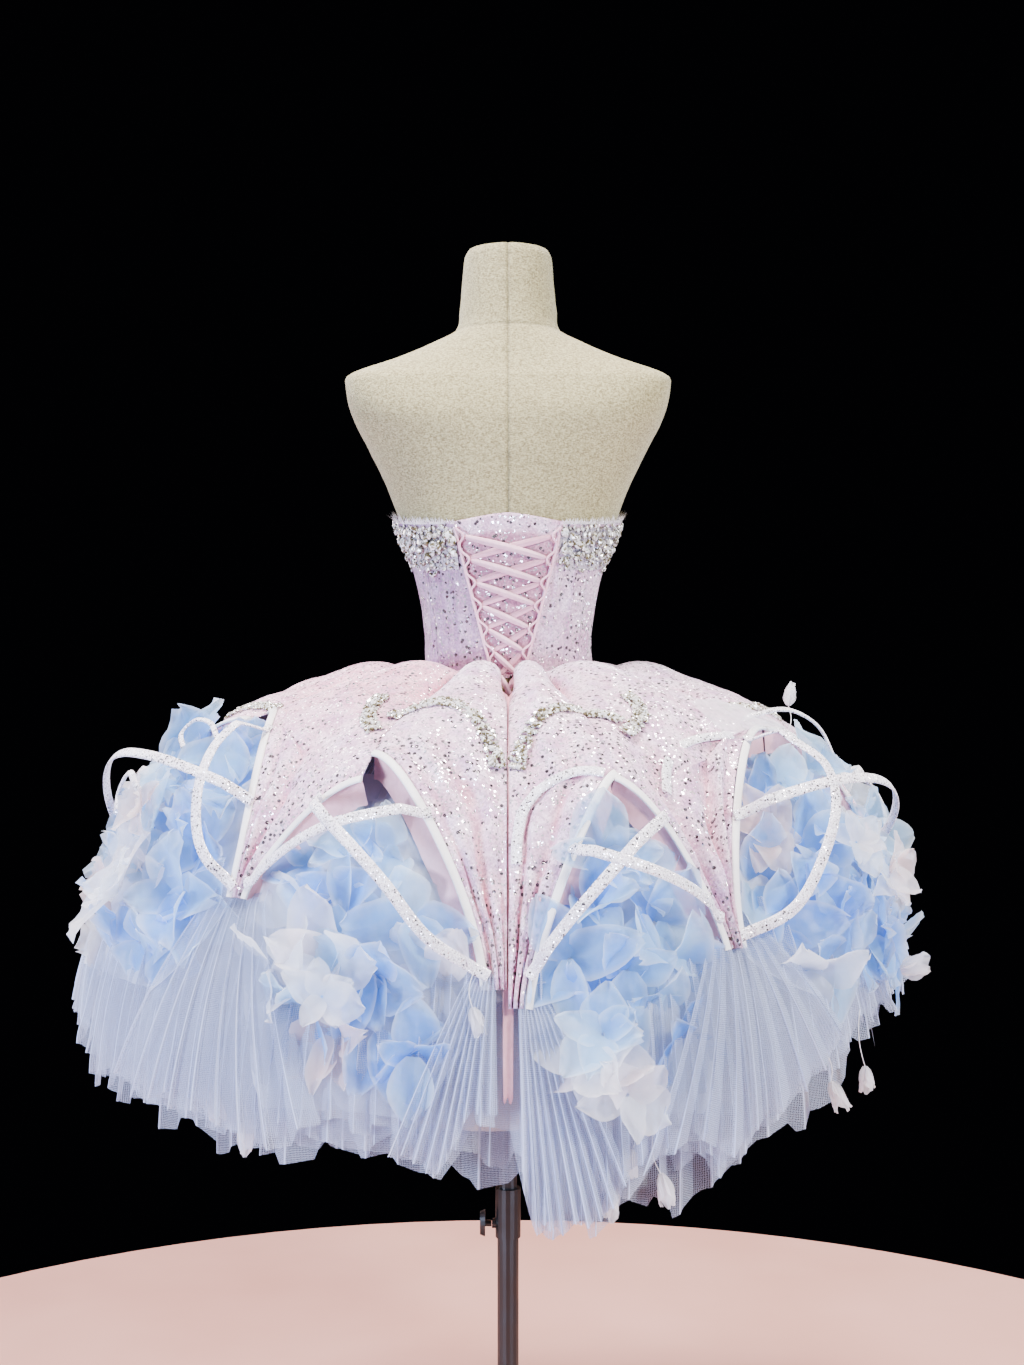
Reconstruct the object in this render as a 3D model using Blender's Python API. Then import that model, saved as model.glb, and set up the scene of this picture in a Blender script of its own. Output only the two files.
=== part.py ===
"""Mini prom dress on a limbless dress form, with the form's height-adjustable stand.

Metres, +Z up. The origin is the middle of the base plate's underside. The dress faces -Y, and
its laced back faces +Y. Angles round the dress are in degrees from the centre back (+Y), and
they grow towards +X, the wearer's left.

The skirt's pieces share one surface, skin(angle, run): angle goes round the dress and run is
the distance in metres down the cloth from the waist seam. Petals, bindings, bands and flower
beds are that surface moved in or out, so neighbours keep an even gap.
"""

from math import asin, atan2, copysign, cos, degrees, pi, radians, sin, sqrt

import bmesh
import bpy
from mathutils import Vector

# ---- clearances and cloth thicknesses -------------------------------------------------------
SEAM_GAP = 0.0004           # between two pieces that are sewn together
REST_GAP = 0.0006           # between a piece and the panel that it lies on
BODICE_WALL = 0.0020
PETAL_WALL = 0.0016
NET_WALL = 0.0010
LINING_WALL = 0.0012
BED_WALL = 0.0060

# ---- dress form and stand -------------------------------------------------------------------
BASE_RADIUS = 0.200
BASE_HEIGHT = 0.008
BASE_EDGE = 0.002
BASE_SEGMENTS = 32
BOSS_RADIUS = 0.026
BOSS_TOP = 0.030
BOSS_EDGE = 0.004
BOSS_TAPER = 0.003
TUBE_RADIUS = 0.0125
TUBE_BORE = 0.0110
TUBE_TOP = 0.478
ROD_RADIUS = 0.0105
ROD_FOOT = 0.215
COLLAR_RADIUS = 0.0148
COLLAR_LOW = 0.420
COLLAR_TOP = 0.4778
SCREW_HEIGHT = 0.436
SCREW_BOSS_RADIUS = 0.0060
SCREW_BOSS_END = 0.0190
SCREW_BOSS_INSET = 0.0012   # how deep the screw boss starts in the collar's wall
SCREW_RADIUS = 0.0040
KNOB_END = 0.0330
KNOB_HALF_SPAN = 0.0160
KNOB_HALF_WIDTH = 0.0100
KNOB_THICK = 0.0060
FORM_FOOT = 0.775
ROUND_SEGMENTS = 18

# Cross-sections of the dress form: height, half width, depth to the back, depth to the front,
# squareness (2 is an ellipse, more is squarer).
FORM_SECTIONS = (
    (0.775, 0.110, 0.085, 0.075, 2.0),
    (0.785, 0.140, 0.106, 0.092, 2.0),
    (0.830, 0.158, 0.122, 0.104, 2.0),
    (0.890, 0.161, 0.124, 0.106, 2.0),
    (0.950, 0.146, 0.112, 0.101, 2.0),
    (1.010, 0.113, 0.090, 0.087, 2.0),
    (1.045, 0.0962, 0.0782, 0.0782, 2.0),
    (1.070, 0.0948, 0.0766, 0.0766, 2.0),
    (1.095, 0.0942, 0.0760, 0.0772, 2.0),
    (1.120, 0.0945, 0.0768, 0.0808, 2.0),
    (1.150, 0.0966, 0.0796, 0.0872, 2.0),
    (1.185, 0.1020, 0.0850, 0.0980, 2.0),
    (1.220, 0.1100, 0.0905, 0.1100, 2.0),
    (1.262, 0.1268, 0.0960, 0.1212, 2.0),
    (1.300, 0.1415, 0.1002, 0.1212, 2.05),
    (1.345, 0.1630, 0.1050, 0.1110, 2.35),
    (1.383, 0.1820, 0.1050, 0.0980, 3.0),
    (1.420, 0.1900, 0.0930, 0.0840, 3.4),
    (1.431, 0.1860, 0.0860, 0.0790, 3.0),
    (1.451, 0.1340, 0.0760, 0.0700, 2.4),
    (1.469, 0.0930, 0.0680, 0.0640, 2.1),
    (1.485, 0.0630, 0.0620, 0.0600, 2.0),
    (1.510, 0.0570, 0.0575, 0.0565, 2.0),
    (1.572, 0.0510, 0.0520, 0.0515, 2.0),
    (1.580, 0.0470, 0.0480, 0.0475, 2.0),
)
FORM_COLUMNS = 24

# ---- bodice ---------------------------------------------------------------------------------
# Outer face of the bodice: height, half width, depth to the back, depth to the front.
BODICE_SECTIONS = (
    (1.050, 0.0995, 0.0812, 0.0812),
    (1.070, 0.0985, 0.0802, 0.0802),
    (1.095, 0.0978, 0.0795, 0.0808),
    (1.120, 0.0982, 0.0804, 0.0845),
    (1.150, 0.1006, 0.0834, 0.0912),
    (1.185, 0.1064, 0.0892, 0.1024),
    (1.220, 0.1152, 0.0950, 0.1154),
    (1.262, 0.1330, 0.1008, 0.1268),
    (1.300, 0.1462, 0.1050, 0.1280),
)
WAIST_HEIGHT = 1.0580
# Top edge of the bodice round the dress: angle, height. The front rises over each cup.
NECKLINE = (
    (0.0, 1.266), (30.0, 1.262), (70.0, 1.262), (110.0, 1.275), (140.0, 1.296),
    (158.0, 1.300), (180.0, 1.284), (202.0, 1.300), (220.0, 1.296), (250.0, 1.275),
    (290.0, 1.262), (330.0, 1.262), (360.0, 1.266),
)
BODICE_LEVELS = (0.0, 0.16, 0.34, 0.52, 0.69, 0.82, 0.94, 1.0)
TRIM_LEVELS = BODICE_LEVELS[4:7]
# Half width of the laced opening at the top, its least half width, and the curve of its edge.
OPENING_TOP = 0.0600
OPENING_LEAST = 0.0022
OPENING_CURVE = 0.92
PANEL_GAP_DEGREES = 0.20
PANEL_STEP = 11.0
# Panels: name, first angle, last angle. Edges at the centre back follow the laced opening.
BODICE_PANELS = (
    ("bodice_back_left", None, 62.0),
    ("bodice_side_left", 62.0, 108.0),
    ("bodice_front_left", 108.0, 151.0),
    ("bodice_front_center", 151.0, 209.0),
    ("bodice_front_right", 209.0, 252.0),
    ("bodice_side_right", 252.0, 298.0),
    ("bodice_back_right", 298.0, None),
)
TRIM_THICK = 0.0026
TRIM_BEAD = 0.0036
TRIM_BEAD_TURN = 2.7        # how the beads' heights follow each other along and across
TRIM_BEAD_RISE = 9.0
TRIM_STEP = 7.0
TRIM_FROM_OPENING = 6.0     # degrees
MODESTY_TOP = 0.985         # its top edge, as a share of the bodice's height
MODESTY_OUTER = -0.0006
MODESTY_INNER = -0.0018
MODESTY_INSET = 1.0         # degrees inside the opening's edge
MODESTY_LEAST = 3.0         # least half width, in degrees
LACE_CROSSINGS = 8
LACE_TOP = 1.251
LACE_FOOT = 1.079
LACE_THICK = 0.0012
LACE_LIFT = 0.0007
LACE_OVER = 0.0023          # how far one ribbon passes over the other
LACE_OVER_SPREAD = 2.5
LACE_REACH = 0.0065
LACE_TURN = 0.0024
# One run of ribbon between two loops: share of the way, half width.
LACE_RUN = (
    (0.0, 0.0016), (0.14, 0.0036), (0.32, 0.0041), (0.5, 0.0041), (0.68, 0.0041),
    (0.86, 0.0036), (1.0, 0.0016),
)
# Free end of the lacing, down the centre-back slit just under the petals: run, half width.
TAIL = ((0.016, 0.0035), (0.045, 0.0045), (0.080, 0.0050), (0.130, 0.0050), (0.190, 0.0048),
        (0.260, 0.0050), (0.340, 0.0050), (0.420, 0.0050), (0.500, 0.0048), (0.580, 0.0045),
        (0.640, 0.0040))
TAIL_LOW = -0.0048
TAIL_HIGH = -0.0036

# ---- skirt ----------------------------------------------------------------------------------
# Outer surface of the overskirt down the cloth: half width, half depth, height.
DOME_SECTIONS = (
    (0.0995, 0.0812, 1.0620),
    (0.1038, 0.0860, 1.0700),
    (0.1130, 0.0970, 1.0765),
    (0.1330, 0.1190, 1.0790),
    (0.1650, 0.1530, 1.0765),
    (0.2080, 0.1970, 1.0690),
    (0.2820, 0.2670, 1.0480),
    (0.3510, 0.3270, 1.0120),
    (0.4060, 0.3740, 0.9620),
    (0.4450, 0.4080, 0.9020),
    (0.4660, 0.4300, 0.8400),
    (0.4780, 0.4450, 0.7750),
    (0.4870, 0.4560, 0.7100),
    (0.4940, 0.4620, 0.6400),
)
SLOPE_TURN = 0.5            # degrees and metres over which a surface's slope is read
SLOPE_STEP = 0.002
RIDGE_POWER = 0.7           # under 1 makes the puffs full and their seams sharp
SIDE_SWAY = 0.03            # the skirt is this share fuller on the left than in the middle
SWAY_RUN = 0.35             # run at which the sway is whole
# Net and lining share one kind of table: half width, half depth, height.
NET_SECTIONS = (
    (0.1036, 0.0853, 1.0572),
    (0.1500, 0.1370, 1.0510),
    (0.2100, 0.2000, 1.0350),
    (0.2950, 0.2790, 0.9960),
    (0.3660, 0.3420, 0.9340),
    (0.4180, 0.3880, 0.8600),
    (0.4520, 0.4200, 0.7800),
    (0.4700, 0.4380, 0.7000),
    (0.4760, 0.4470, 0.6200),
    (0.4760, 0.4480, 0.5300),
)
LINING_SECTIONS = (
    (0.0986, 0.0803, 1.0572),
    (0.1380, 0.1250, 0.9950),
    (0.1850, 0.1760, 0.9250),
    (0.2280, 0.2200, 0.8450),
    (0.2620, 0.2540, 0.7600),
    (0.2850, 0.2760, 0.6800),
    (0.2950, 0.2860, 0.6180),
)
LINING_COLUMNS = 36
LINING_ROWS = (0.0, 0.25, 0.5, 0.75, 1.0)
LINING_HEM_WAVE = 0.006
LINING_HEM_WAVES = 8
# Petal height relief down the cloth: run, puff between seams, bulge over the arches.
RELIEF = (
    (0.000, 0.0000, 0.000),
    (0.020, 0.0005, 0.000),
    (0.050, 0.0080, 0.000),
    (0.120, 0.0100, 0.000),
    (0.200, 0.0060, 0.002),
    (0.270, 0.0020, 0.008),
    (0.350, 0.0000, 0.014),
    (0.450, 0.0000, 0.018),
    (0.550, 0.0000, 0.014),
    (0.700, 0.0000, 0.006),
)
# Petals of the overskirt: name, first edge, last edge, tip angle, tip run, run of the arch
# corner at each edge, and how round the border is there (1 straight, 2 a quarter ellipse).
# The two inner back petals meet at the slit, where they have no arch.
PETALS = (
    ("petal_back_left", 0.0, 22.0, 1.7, 0.535, None, 0.293, None, 1.5),
    ("petal_side_back_left", 22.0, 62.0, 39.5, 0.457, 0.330, 0.205, 1.5, 2.0),
    ("petal_side_left", 62.0, 108.0, 85.0, 0.478, 0.230, 0.268, 2.0, 2.0),
    ("petal_front_left", 108.0, 155.0, 131.0, 0.470, 0.282, 0.292, 2.0, 2.0),
    ("petal_front", 155.0, 204.0, 180.0, 0.490, 0.288, 0.288, 2.0, 2.0),
    ("petal_front_right", 204.0, 252.0, 228.0, 0.470, 0.292, 0.282, 2.0, 2.0),
    ("petal_side_right", 252.0, 304.0, 279.0, 0.486, 0.274, 0.255, 2.0, 2.0),
    ("petal_side_back_right", 304.0, 344.0, 329.0, 0.505, 0.252, 0.328, 2.0, 1.4),
    ("petal_back_right", 344.0, 360.0, 358.7, 0.552, 0.322, None, 1.35, None),
)
PETAL_TOP_RUNS = (0.0, 0.015, 0.036, 0.075, 0.135)
PETAL_MID_SHARES = (0.34, 0.68)     # rows between the last of those and the arch
PETAL_ARCH_TURNS = (0.0, 13.0, 28.0, 46.0, 67.0, 90.0)
PETAL_COLUMNS = 6
TIP_HALF_WIDTH = 0.005
SLIT_HALF_WIDTH = 0.0034
SLIT_TOP_WIDENING = 0.0060
SLIT_TOP_RUN = 0.14
BINDING_WIDTH = 0.0085
BINDING_LOW = -0.0006
BINDING_HIGH = 0.0020
BAND_WIDTH = 0.0115
BAND_THICK = 0.0026
BAND_SAMPLES = 10
BAND_STAGGER = 0.0009
BAND_RAMP = 0.022
HOOP_LIFT = 0.0012

# Bands over each arch: name, lift at the ends, how far they bow out, then each band. Each end
# is (petal, edge, run) on that petal's border, and the way between is (angle, run).
BANDS = (
    ("bands_back_left", 0.0021, 0.024, (
        ((1, "first", 0.442), ((28.3, 0.416), (22.3, 0.399), (16.5, 0.384)), (0, "last", 0.366)),
        ((1, "first", 0.352), ((19.3, 0.417), (15.3, 0.447), (10.0, 0.493)), (0, "last", 0.523)),
    )),
    ("bands_side_back_left", 0.0021, 0.045, (
        ((1, "last", 0.250), ((50.0, 0.276), (50.5, 0.315), (48.8, 0.365), (45.5, 0.415)),
         (1, "last", 0.448)),
        ((1, "last", 0.350), ((46.0, 0.345), (57.0, 0.348), (69.0, 0.362)), (2, "first", 0.410)),
    )),
    ("bands_side_front_left", 0.0014, 0.026, (
        ((2, "last", 0.442), ((98.0, 0.404), (110.0, 0.370)), (3, "first", 0.347)),
        ((2, "last", 0.342), ((108.0, 0.387), (118.0, 0.427)), (3, "first", 0.447)),
    )),
    ("bands_front_left", 0.0016, 0.025, (
        ((3, "last", 0.437), ((147.0, 0.410), (158.0, 0.377)), (4, "first", 0.357)),
        ((3, "last", 0.357), ((152.0, 0.387), (165.0, 0.437)), (4, "first", 0.462)),
    )),
    ("bands_front_right", 0.0016, 0.025, (
        ((4, "last", 0.462), ((195.0, 0.437), (208.0, 0.387)), (5, "first", 0.357)),
        ((4, "last", 0.357), ((202.0, 0.377), (213.0, 0.410)), (5, "first", 0.437)),
    )),
    ("bands_side_front_right", 0.0017, 0.026, (
        ((5, "last", 0.447), ((242.0, 0.427), (252.0, 0.387)), (6, "first", 0.342)),
        ((5, "last", 0.347), ((250.0, 0.370), (262.0, 0.404)), (6, "first", 0.447)),
    )),
    ("bands_side_back_right", 0.0021, 0.042, (
        ((7, "first", 0.272), ((312.5, 0.312), (310.3, 0.350), (311.8, 0.388), (315.5, 0.428),
                               (321.0, 0.474)), (7, "first", 0.494)),
        ((7, "first", 0.366), ((315.5, 0.366), (306.5, 0.372), (296.0, 0.388)),
         (6, "last", 0.424)),
    )),
    ("bands_back_right", 0.0025, 0.024, (
        ((7, "last", 0.372), ((342.5, 0.400), (348.8, 0.452)), (8, "first", 0.524)),
        ((8, "first", 0.402), ((347.6, 0.422), (340.6, 0.446)), (7, "last", 0.474)),
    )),
)
# Hoops laid on a petal's own face, from one bound edge to the next: name, places (angle, run).
HOOPS = (
    ("hoop_back_right", ((345.6, 0.327), (349.0, 0.321), (352.4, 0.324), (355.4, 0.334),
                         (357.6, 0.353), (358.6, 0.382), (358.8, 0.412))),
    ("hoop_side_back_right", ((335.6, 0.341), (333.4, 0.306), (330.2, 0.282), (326.4, 0.268),
                              (321.6, 0.263), (316.0, 0.267))),
)

# Flower beds between the petals: name, petal before, petal after, lowest run, height of the
# blossoms, seed of their heights.
FLOWER_BEDS = (
    ("flowers_back_left", 0, 1, 0.655, 0.015, 1.3),
    ("flowers_side_back_left", 1, 2, 0.560, 0.005, 2.9),
    ("flowers_side_front_left", 2, 3, 0.560, 0.004, 4.1),
    ("flowers_front_left", 3, 4, 0.580, 0.012, 5.7),
    ("flowers_front_right", 4, 5, 0.580, 0.015, 7.2),
    ("flowers_side_front_right", 5, 6, 0.548, 0.015, 8.8),
    ("flowers_side_back_right", 6, 7, 0.560, 0.014, 10.3),
    ("flowers_back_right", 7, 8, 0.655, 0.015, 11.9),
)
BED_COLUMNS = 7
BED_FIRST_ROW = 2           # the arch is open above this row
BED_TAIL_ROWS = 3
BED_TAIL_NARROWING = 0.42
BED_SWELL = 0.005
BLOSSOM_TURN = 2.6          # how the blossoms' heights follow each other along and across
BLOSSOM_DROP = 4.4

# Net layers: name, columns (two to a pleat), depth of a pleat, distance under the outermost
# layer at the waist and at the hem, how much lower it ends, seed, runs of its rows.
NET_LAYERS = (
    ("tulle_outer", 88, 0.0100, 0.0000, 0.000, 0.000, 0.7, (0.0, 0.11, 0.22, 0.32, 0.42)),
    ("tulle_middle", 60, 0.0070, 0.0016, 0.016, 0.016, 2.1, (0.0, 0.22, 0.42)),
    ("tulle_under", 44, 0.0070, 0.0032, 0.030, -0.012, 3.9, (0.0, 0.22, 0.42)),
)
# Height of the raw, uneven hem round the outer net: angle, height.
HEM = (
    (0.0, 0.645), (4.0, 0.655), (8.0, 0.607), (14.0, 0.630), (20.0, 0.640), (33.0, 0.617),
    (42.0, 0.642), (51.0, 0.634), (60.0, 0.666), (70.0, 0.692), (80.0, 0.712), (92.0, 0.738),
    (104.0, 0.728), (122.0, 0.690), (142.0, 0.672), (160.0, 0.698), (180.0, 0.676),
    (200.0, 0.700), (220.0, 0.676), (240.0, 0.705), (257.0, 0.752), (272.0, 0.786),
    (281.0, 0.752), (298.0, 0.722), (310.0, 0.708), (316.0, 0.690), (324.0, 0.654),
    (333.0, 0.604), (339.0, 0.630), (346.0, 0.592), (351.0, 0.562), (357.0, 0.550),
    (360.0, 0.645),
)
PLEAT_START = 0.10          # run at which the pleats reach their full depth
NET_WANDER = 0.20           # unevenness of the pleats, in columns
WANDER_TURN = 3.1           # how the pleats' places, depths and hems follow each other
FOLD_TURN = 1.9
FOLD_SPREAD = 0.25
RIPPLE_TURN = 5.0
HEM_RIPPLE = 0.008

# ---- colours (linear) -----------------------------------------------------------------------
FINISHES = {
    "form_linen": ((0.60, 0.56, 0.44), 0.90, 0.0),
    "black_steel": ((0.012, 0.012, 0.013), 0.35, 0.6),
    "pink_glitter": ((0.78, 0.55, 0.62), 0.45, 0.0),
    "satin_white": ((0.82, 0.80, 0.80), 0.35, 0.0),
    "glitter_white": ((0.80, 0.80, 0.82), 0.40, 0.0),
    "satin_pink": ((0.76, 0.46, 0.50), 0.35, 0.0),
    "crystal": ((0.75, 0.78, 0.80), 0.10, 0.0),
    "white_tulle": ((0.80, 0.82, 0.86), 0.70, 0.0),
    "satin_beige": ((0.66, 0.54, 0.44), 0.45, 0.0),
    "blue_organza": ((0.36, 0.58, 0.86), 0.50, 0.0),
}


# ---- tables ---------------------------------------------------------------------------------
def hermite(x, rows, column):
    """Smooth value of one column of a table at x, read from the table's first column."""
    last = len(rows) - 1
    if x <= rows[0][0]:
        return rows[0][column]
    if x >= rows[last][0]:
        return rows[last][column]
    k = next(i for i in range(last) if x <= rows[i + 1][0])

    def slope(i):
        lower, upper = max(i - 1, 0), min(i + 1, last)
        return (rows[upper][column] - rows[lower][column]) / (rows[upper][0] - rows[lower][0])

    span = rows[k + 1][0] - rows[k][0]
    t = (x - rows[k][0]) / span
    start, end = rows[k][column], rows[k + 1][column]
    return ((2 * t ** 3 - 3 * t ** 2 + 1) * start + (t ** 3 - 2 * t ** 2 + t) * span * slope(k)
            + (3 * t ** 2 - 2 * t ** 3) * end + (t ** 3 - t ** 2) * span * slope(k + 1))


def straight(x, rows):
    """Value between the rows of a two-column table, joined by straight lines."""
    for (x0, y0), (x1, y1) in zip(rows, rows[1:]):
        if x <= x1:
            return y0 + (y1 - y0) * (x - x0) / (x1 - x0)
    return rows[-1][1]


def with_runs(sections):
    """Rows of (run, half width, half depth, height) from rows without the run."""
    rows = []
    run = 0.0
    for i, (width, depth, height) in enumerate(sections):
        if i:
            last = sections[i - 1]
            run += sqrt((width - last[0]) ** 2 + (height - last[2]) ** 2)
        rows.append((run, width, depth, height))
    return rows


DOME = with_runs(DOME_SECTIONS)
NET = with_runs(NET_SECTIONS)
LINING = with_runs(LINING_SECTIONS)
SEAM_ANGLES = [petal[1] for petal in PETALS] + [360.0]
COLUMN_ANGLES = [0.0] + [petal[3] for petal in PETALS[1:-1]] + [360.0]


# ---- surfaces -------------------------------------------------------------------------------
def around(angle, half_width, half_depth):
    """Point of an ellipse in plan, at an angle from the centre back."""
    turn = radians(angle)
    radius = half_width * half_depth / sqrt((half_depth * sin(turn)) ** 2
                                            + (half_width * cos(turn)) ** 2)
    return radius * sin(turn), radius * cos(turn), radius


def share_between(angle, marks):
    """How far an angle lies between the two marks around it, from 0 to 1."""
    angle = angle % 360.0
    for low, high in zip(marks, marks[1:]):
        if angle <= high:
            return (angle - low) / (high - low)
    return 0.0


def relief(angle, run):
    """Height of the puffs near the waist and of the bulges over the arches."""
    puff = hermite(run, RELIEF, 1)
    bulge = hermite(run, RELIEF, 2)
    ridge = abs(sin(pi * share_between(angle, SEAM_ANGLES))) ** RIDGE_POWER
    swell = sin(pi * share_between(angle, COLUMN_ANGLES)) ** 2
    return puff * (2.0 * ridge - 1.0) + bulge * (2.0 * swell - 1.0)


def surface(rows, angle, run, lift):
    """Point on a turned surface, moved out by lift across its profile."""
    step = SLOPE_STEP
    width, depth, height = (hermite(run, rows, column) for column in (1, 2, 3))
    width *= 1.0 + SIDE_SWAY * sin(radians(angle)) * min(1.0, max(run, 0.0) / SWAY_RUN)
    rise = hermite(run + step, rows, 3) - hermite(run - step, rows, 3)
    spread = hermite(run + step, rows, 1) - hermite(run - step, rows, 1)
    length = sqrt(rise * rise + spread * spread)
    x, y, radius = around(angle, width, depth)
    grow = 1.0 - rise / length * lift / radius
    return Vector((x * grow, y * grow, height + spread / length * lift))


def skin(angle, run, out=0.0):
    """Point on the overskirt, moved out along the surface's own normal."""
    point = surface(DOME, angle, run, relief(angle, run))
    if out == 0.0:
        return point
    return point + skin_normal(angle, run) * out


def skin_normal(angle, run):
    """Direction that points straight out of the overskirt."""
    turn, step = SLOPE_TURN, SLOPE_STEP
    low = max(run - step, 0.0)
    across = (surface(DOME, angle + turn, run, relief(angle + turn, run))
              - surface(DOME, angle - turn, run, relief(angle - turn, run)))
    down = (surface(DOME, angle, run + step, relief(angle, run + step))
            - surface(DOME, angle, low, relief(angle, low)))
    return across.cross(down).normalized()


def arc_metres(angle, run):
    """Metres round the skirt for one degree at this place."""
    return radians(1.0) * surface(DOME, angle, run, 0.0).xy.length


# ---- meshes ---------------------------------------------------------------------------------
def finish_mesh(name, finish, verts, faces, smooth=True, crease=40.0):
    """New object with outward faces, its own material and shading."""
    mesh = bpy.data.meshes.new(name)
    mesh.from_pydata([tuple(v) for v in verts], [], faces)
    soft = bmesh.new()
    soft.from_mesh(mesh)
    bmesh.ops.recalc_face_normals(soft, faces=soft.faces)
    soft.to_mesh(mesh)
    soft.free()
    return finish_object(name, finish, mesh, smooth, crease)


def finish_object(name, finish, mesh, smooth=True, crease=40.0):
    """Object for a mesh, linked and given its own Principled material."""
    obj = bpy.data.objects.new(name, mesh)
    bpy.context.collection.objects.link(obj)
    colour, roughness, metallic = FINISHES[finish]
    material = bpy.data.materials.new(f"{name}_{finish}")
    material.use_nodes = True
    shader = material.node_tree.nodes["Principled BSDF"]
    shader.inputs["Base Color"].default_value = (*colour, 1.0)
    shader.inputs["Roughness"].default_value = roughness
    shader.inputs["Metallic"].default_value = metallic
    mesh.materials.clear()
    mesh.materials.append(material)
    if smooth:
        mesh.shade_smooth()
        mesh.set_sharp_from_angle(angle=radians(crease))
    return obj


def wall(name, finish, outer, inner, ring=False):
    """Closed wall between two grids of points of the same shape."""
    rows, columns = len(outer), len(outer[0])
    verts = [p for row in outer for p in row] + [p for row in inner for p in row]
    span = columns if ring else columns - 1
    half = rows * columns

    def at(i, j, side=0):
        return side * half + i * columns + j % columns

    faces = []
    for i in range(rows - 1):
        for j in range(span):
            faces.append((at(i, j), at(i + 1, j), at(i + 1, j + 1), at(i, j + 1)))
            faces.append((at(i, j, 1), at(i, j + 1, 1), at(i + 1, j + 1, 1), at(i + 1, j, 1)))
    last = rows - 1
    for j in range(span):
        faces.append((at(0, j), at(0, j + 1), at(0, j + 1, 1), at(0, j, 1)))
        faces.append((at(last, j), at(last, j, 1), at(last, j + 1, 1), at(last, j + 1)))
    if not ring:
        for i in range(last):
            faces.append((at(i, 0), at(i, 0, 1), at(i + 1, 0, 1), at(i + 1, 0)))
            faces.append((at(i, span), at(i + 1, span), at(i + 1, span, 1), at(i, span, 1)))
    return finish_mesh(name, finish, verts, faces)


def strip(name, finish, left, right, normals, low, high):
    """Flat strip between two edges, from height low to height high off them."""
    outer = [(a + n * high, b + n * high) for a, b, n in zip(left, right, normals)]
    inner = [(a + n * low, b + n * low) for a, b, n in zip(left, right, normals)]
    return wall(name, finish, outer, inner)


def turned(name, finish, profile, segments=ROUND_SEGMENTS):
    """Solid of revolution about Z from a closed profile of (radius, height)."""
    verts = []
    for k in range(segments):
        turn = 2.0 * pi * k / segments
        verts += [(r * cos(turn), r * sin(turn), z) for r, z in profile]
    count = len(profile)
    faces = []
    for k in range(segments):
        here, there = k * count, (k + 1) % segments * count
        for i in range(count):
            j = (i + 1) % count
            faces.append((here + i, there + i, there + j, here + j))
    return finish_mesh(name, finish, verts, faces)


def join_solids(base, others, solver="EXACT"):
    """Union of solids into one closed body, in base."""
    for other in others:
        union = base.modifiers.new("union", "BOOLEAN")
        union.operation = "UNION"
        union.solver = solver
        union.object = other
    depsgraph = bpy.context.evaluated_depsgraph_get()
    mesh = bpy.data.meshes.new_from_object(base.evaluated_get(depsgraph))
    base.modifiers.clear()
    base.data = mesh
    for other in others:
        bpy.data.objects.remove(other)
    return base


# ---- stand and form -------------------------------------------------------------------------
def build_stand():
    """Base plate, outer tube, clamp collar and thumb screw."""
    foot = bmesh.new()
    profile = ((BASE_RADIUS, 0.0), (BASE_RADIUS, BASE_HEIGHT - BASE_EDGE),
               (BASE_RADIUS - BASE_EDGE, BASE_HEIGHT), (BOSS_RADIUS + BOSS_EDGE, BASE_HEIGHT),
               (BOSS_RADIUS, BASE_HEIGHT + BOSS_EDGE), (BOSS_RADIUS - BOSS_TAPER, BOSS_TOP),
               (TUBE_RADIUS + SEAM_GAP, BOSS_TOP), (TUBE_RADIUS + SEAM_GAP, BASE_HEIGHT))
    rings = []
    for r, z in profile:
        turns = [2.0 * pi * k / BASE_SEGMENTS for k in range(BASE_SEGMENTS)]
        rings.append([foot.verts.new((r * cos(turn), r * sin(turn), z)) for turn in turns])
    for low, high in zip(rings, rings[1:]):
        for k in range(BASE_SEGMENTS):
            n = (k + 1) % BASE_SEGMENTS
            foot.faces.new((low[k], low[n], high[n], high[k]))
    foot.faces.new(list(reversed(rings[0])))
    foot.faces.new(rings[-1])
    bmesh.ops.recalc_face_normals(foot, faces=foot.faces)
    mesh = bpy.data.meshes.new("base_plate")
    foot.to_mesh(mesh)
    foot.free()
    finish_object("base_plate", "black_steel", mesh)

    turned("pole_tube", "black_steel", (
        (TUBE_RADIUS, BASE_HEIGHT + SEAM_GAP), (TUBE_RADIUS, TUBE_TOP),
        (TUBE_BORE, TUBE_TOP), (TUBE_BORE, BASE_HEIGHT + SEAM_GAP)))
    collar = turned("pole_collar", "black_steel", (
        (COLLAR_RADIUS, COLLAR_LOW), (COLLAR_RADIUS, COLLAR_TOP),
        (TUBE_RADIUS + SEAM_GAP, COLLAR_TOP), (TUBE_RADIUS + SEAM_GAP, COLLAR_LOW)))
    boss = cross_rod("screw_boss", "black_steel", SCREW_BOSS_RADIUS,
                     TUBE_RADIUS + SCREW_BOSS_INSET, SCREW_BOSS_END)
    join_solids(collar, [boss])
    build_knob()


def cross_rod(name, finish, radius, start, end, segments=16):
    """Round bar along X at the clamp screw's height."""
    solid = bmesh.new()
    bmesh.ops.create_cone(solid, cap_ends=True, segments=segments, radius1=radius,
                          radius2=radius, depth=end - start)
    for vert in solid.verts:
        x, y, z = vert.co
        vert.co = (z + (start + end) / 2.0, y, -x + SCREW_HEIGHT)
    bmesh.ops.recalc_face_normals(solid, faces=solid.faces)
    mesh = bpy.data.meshes.new(name)
    solid.to_mesh(mesh)
    solid.free()
    return finish_object(name, finish, mesh)


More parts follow.
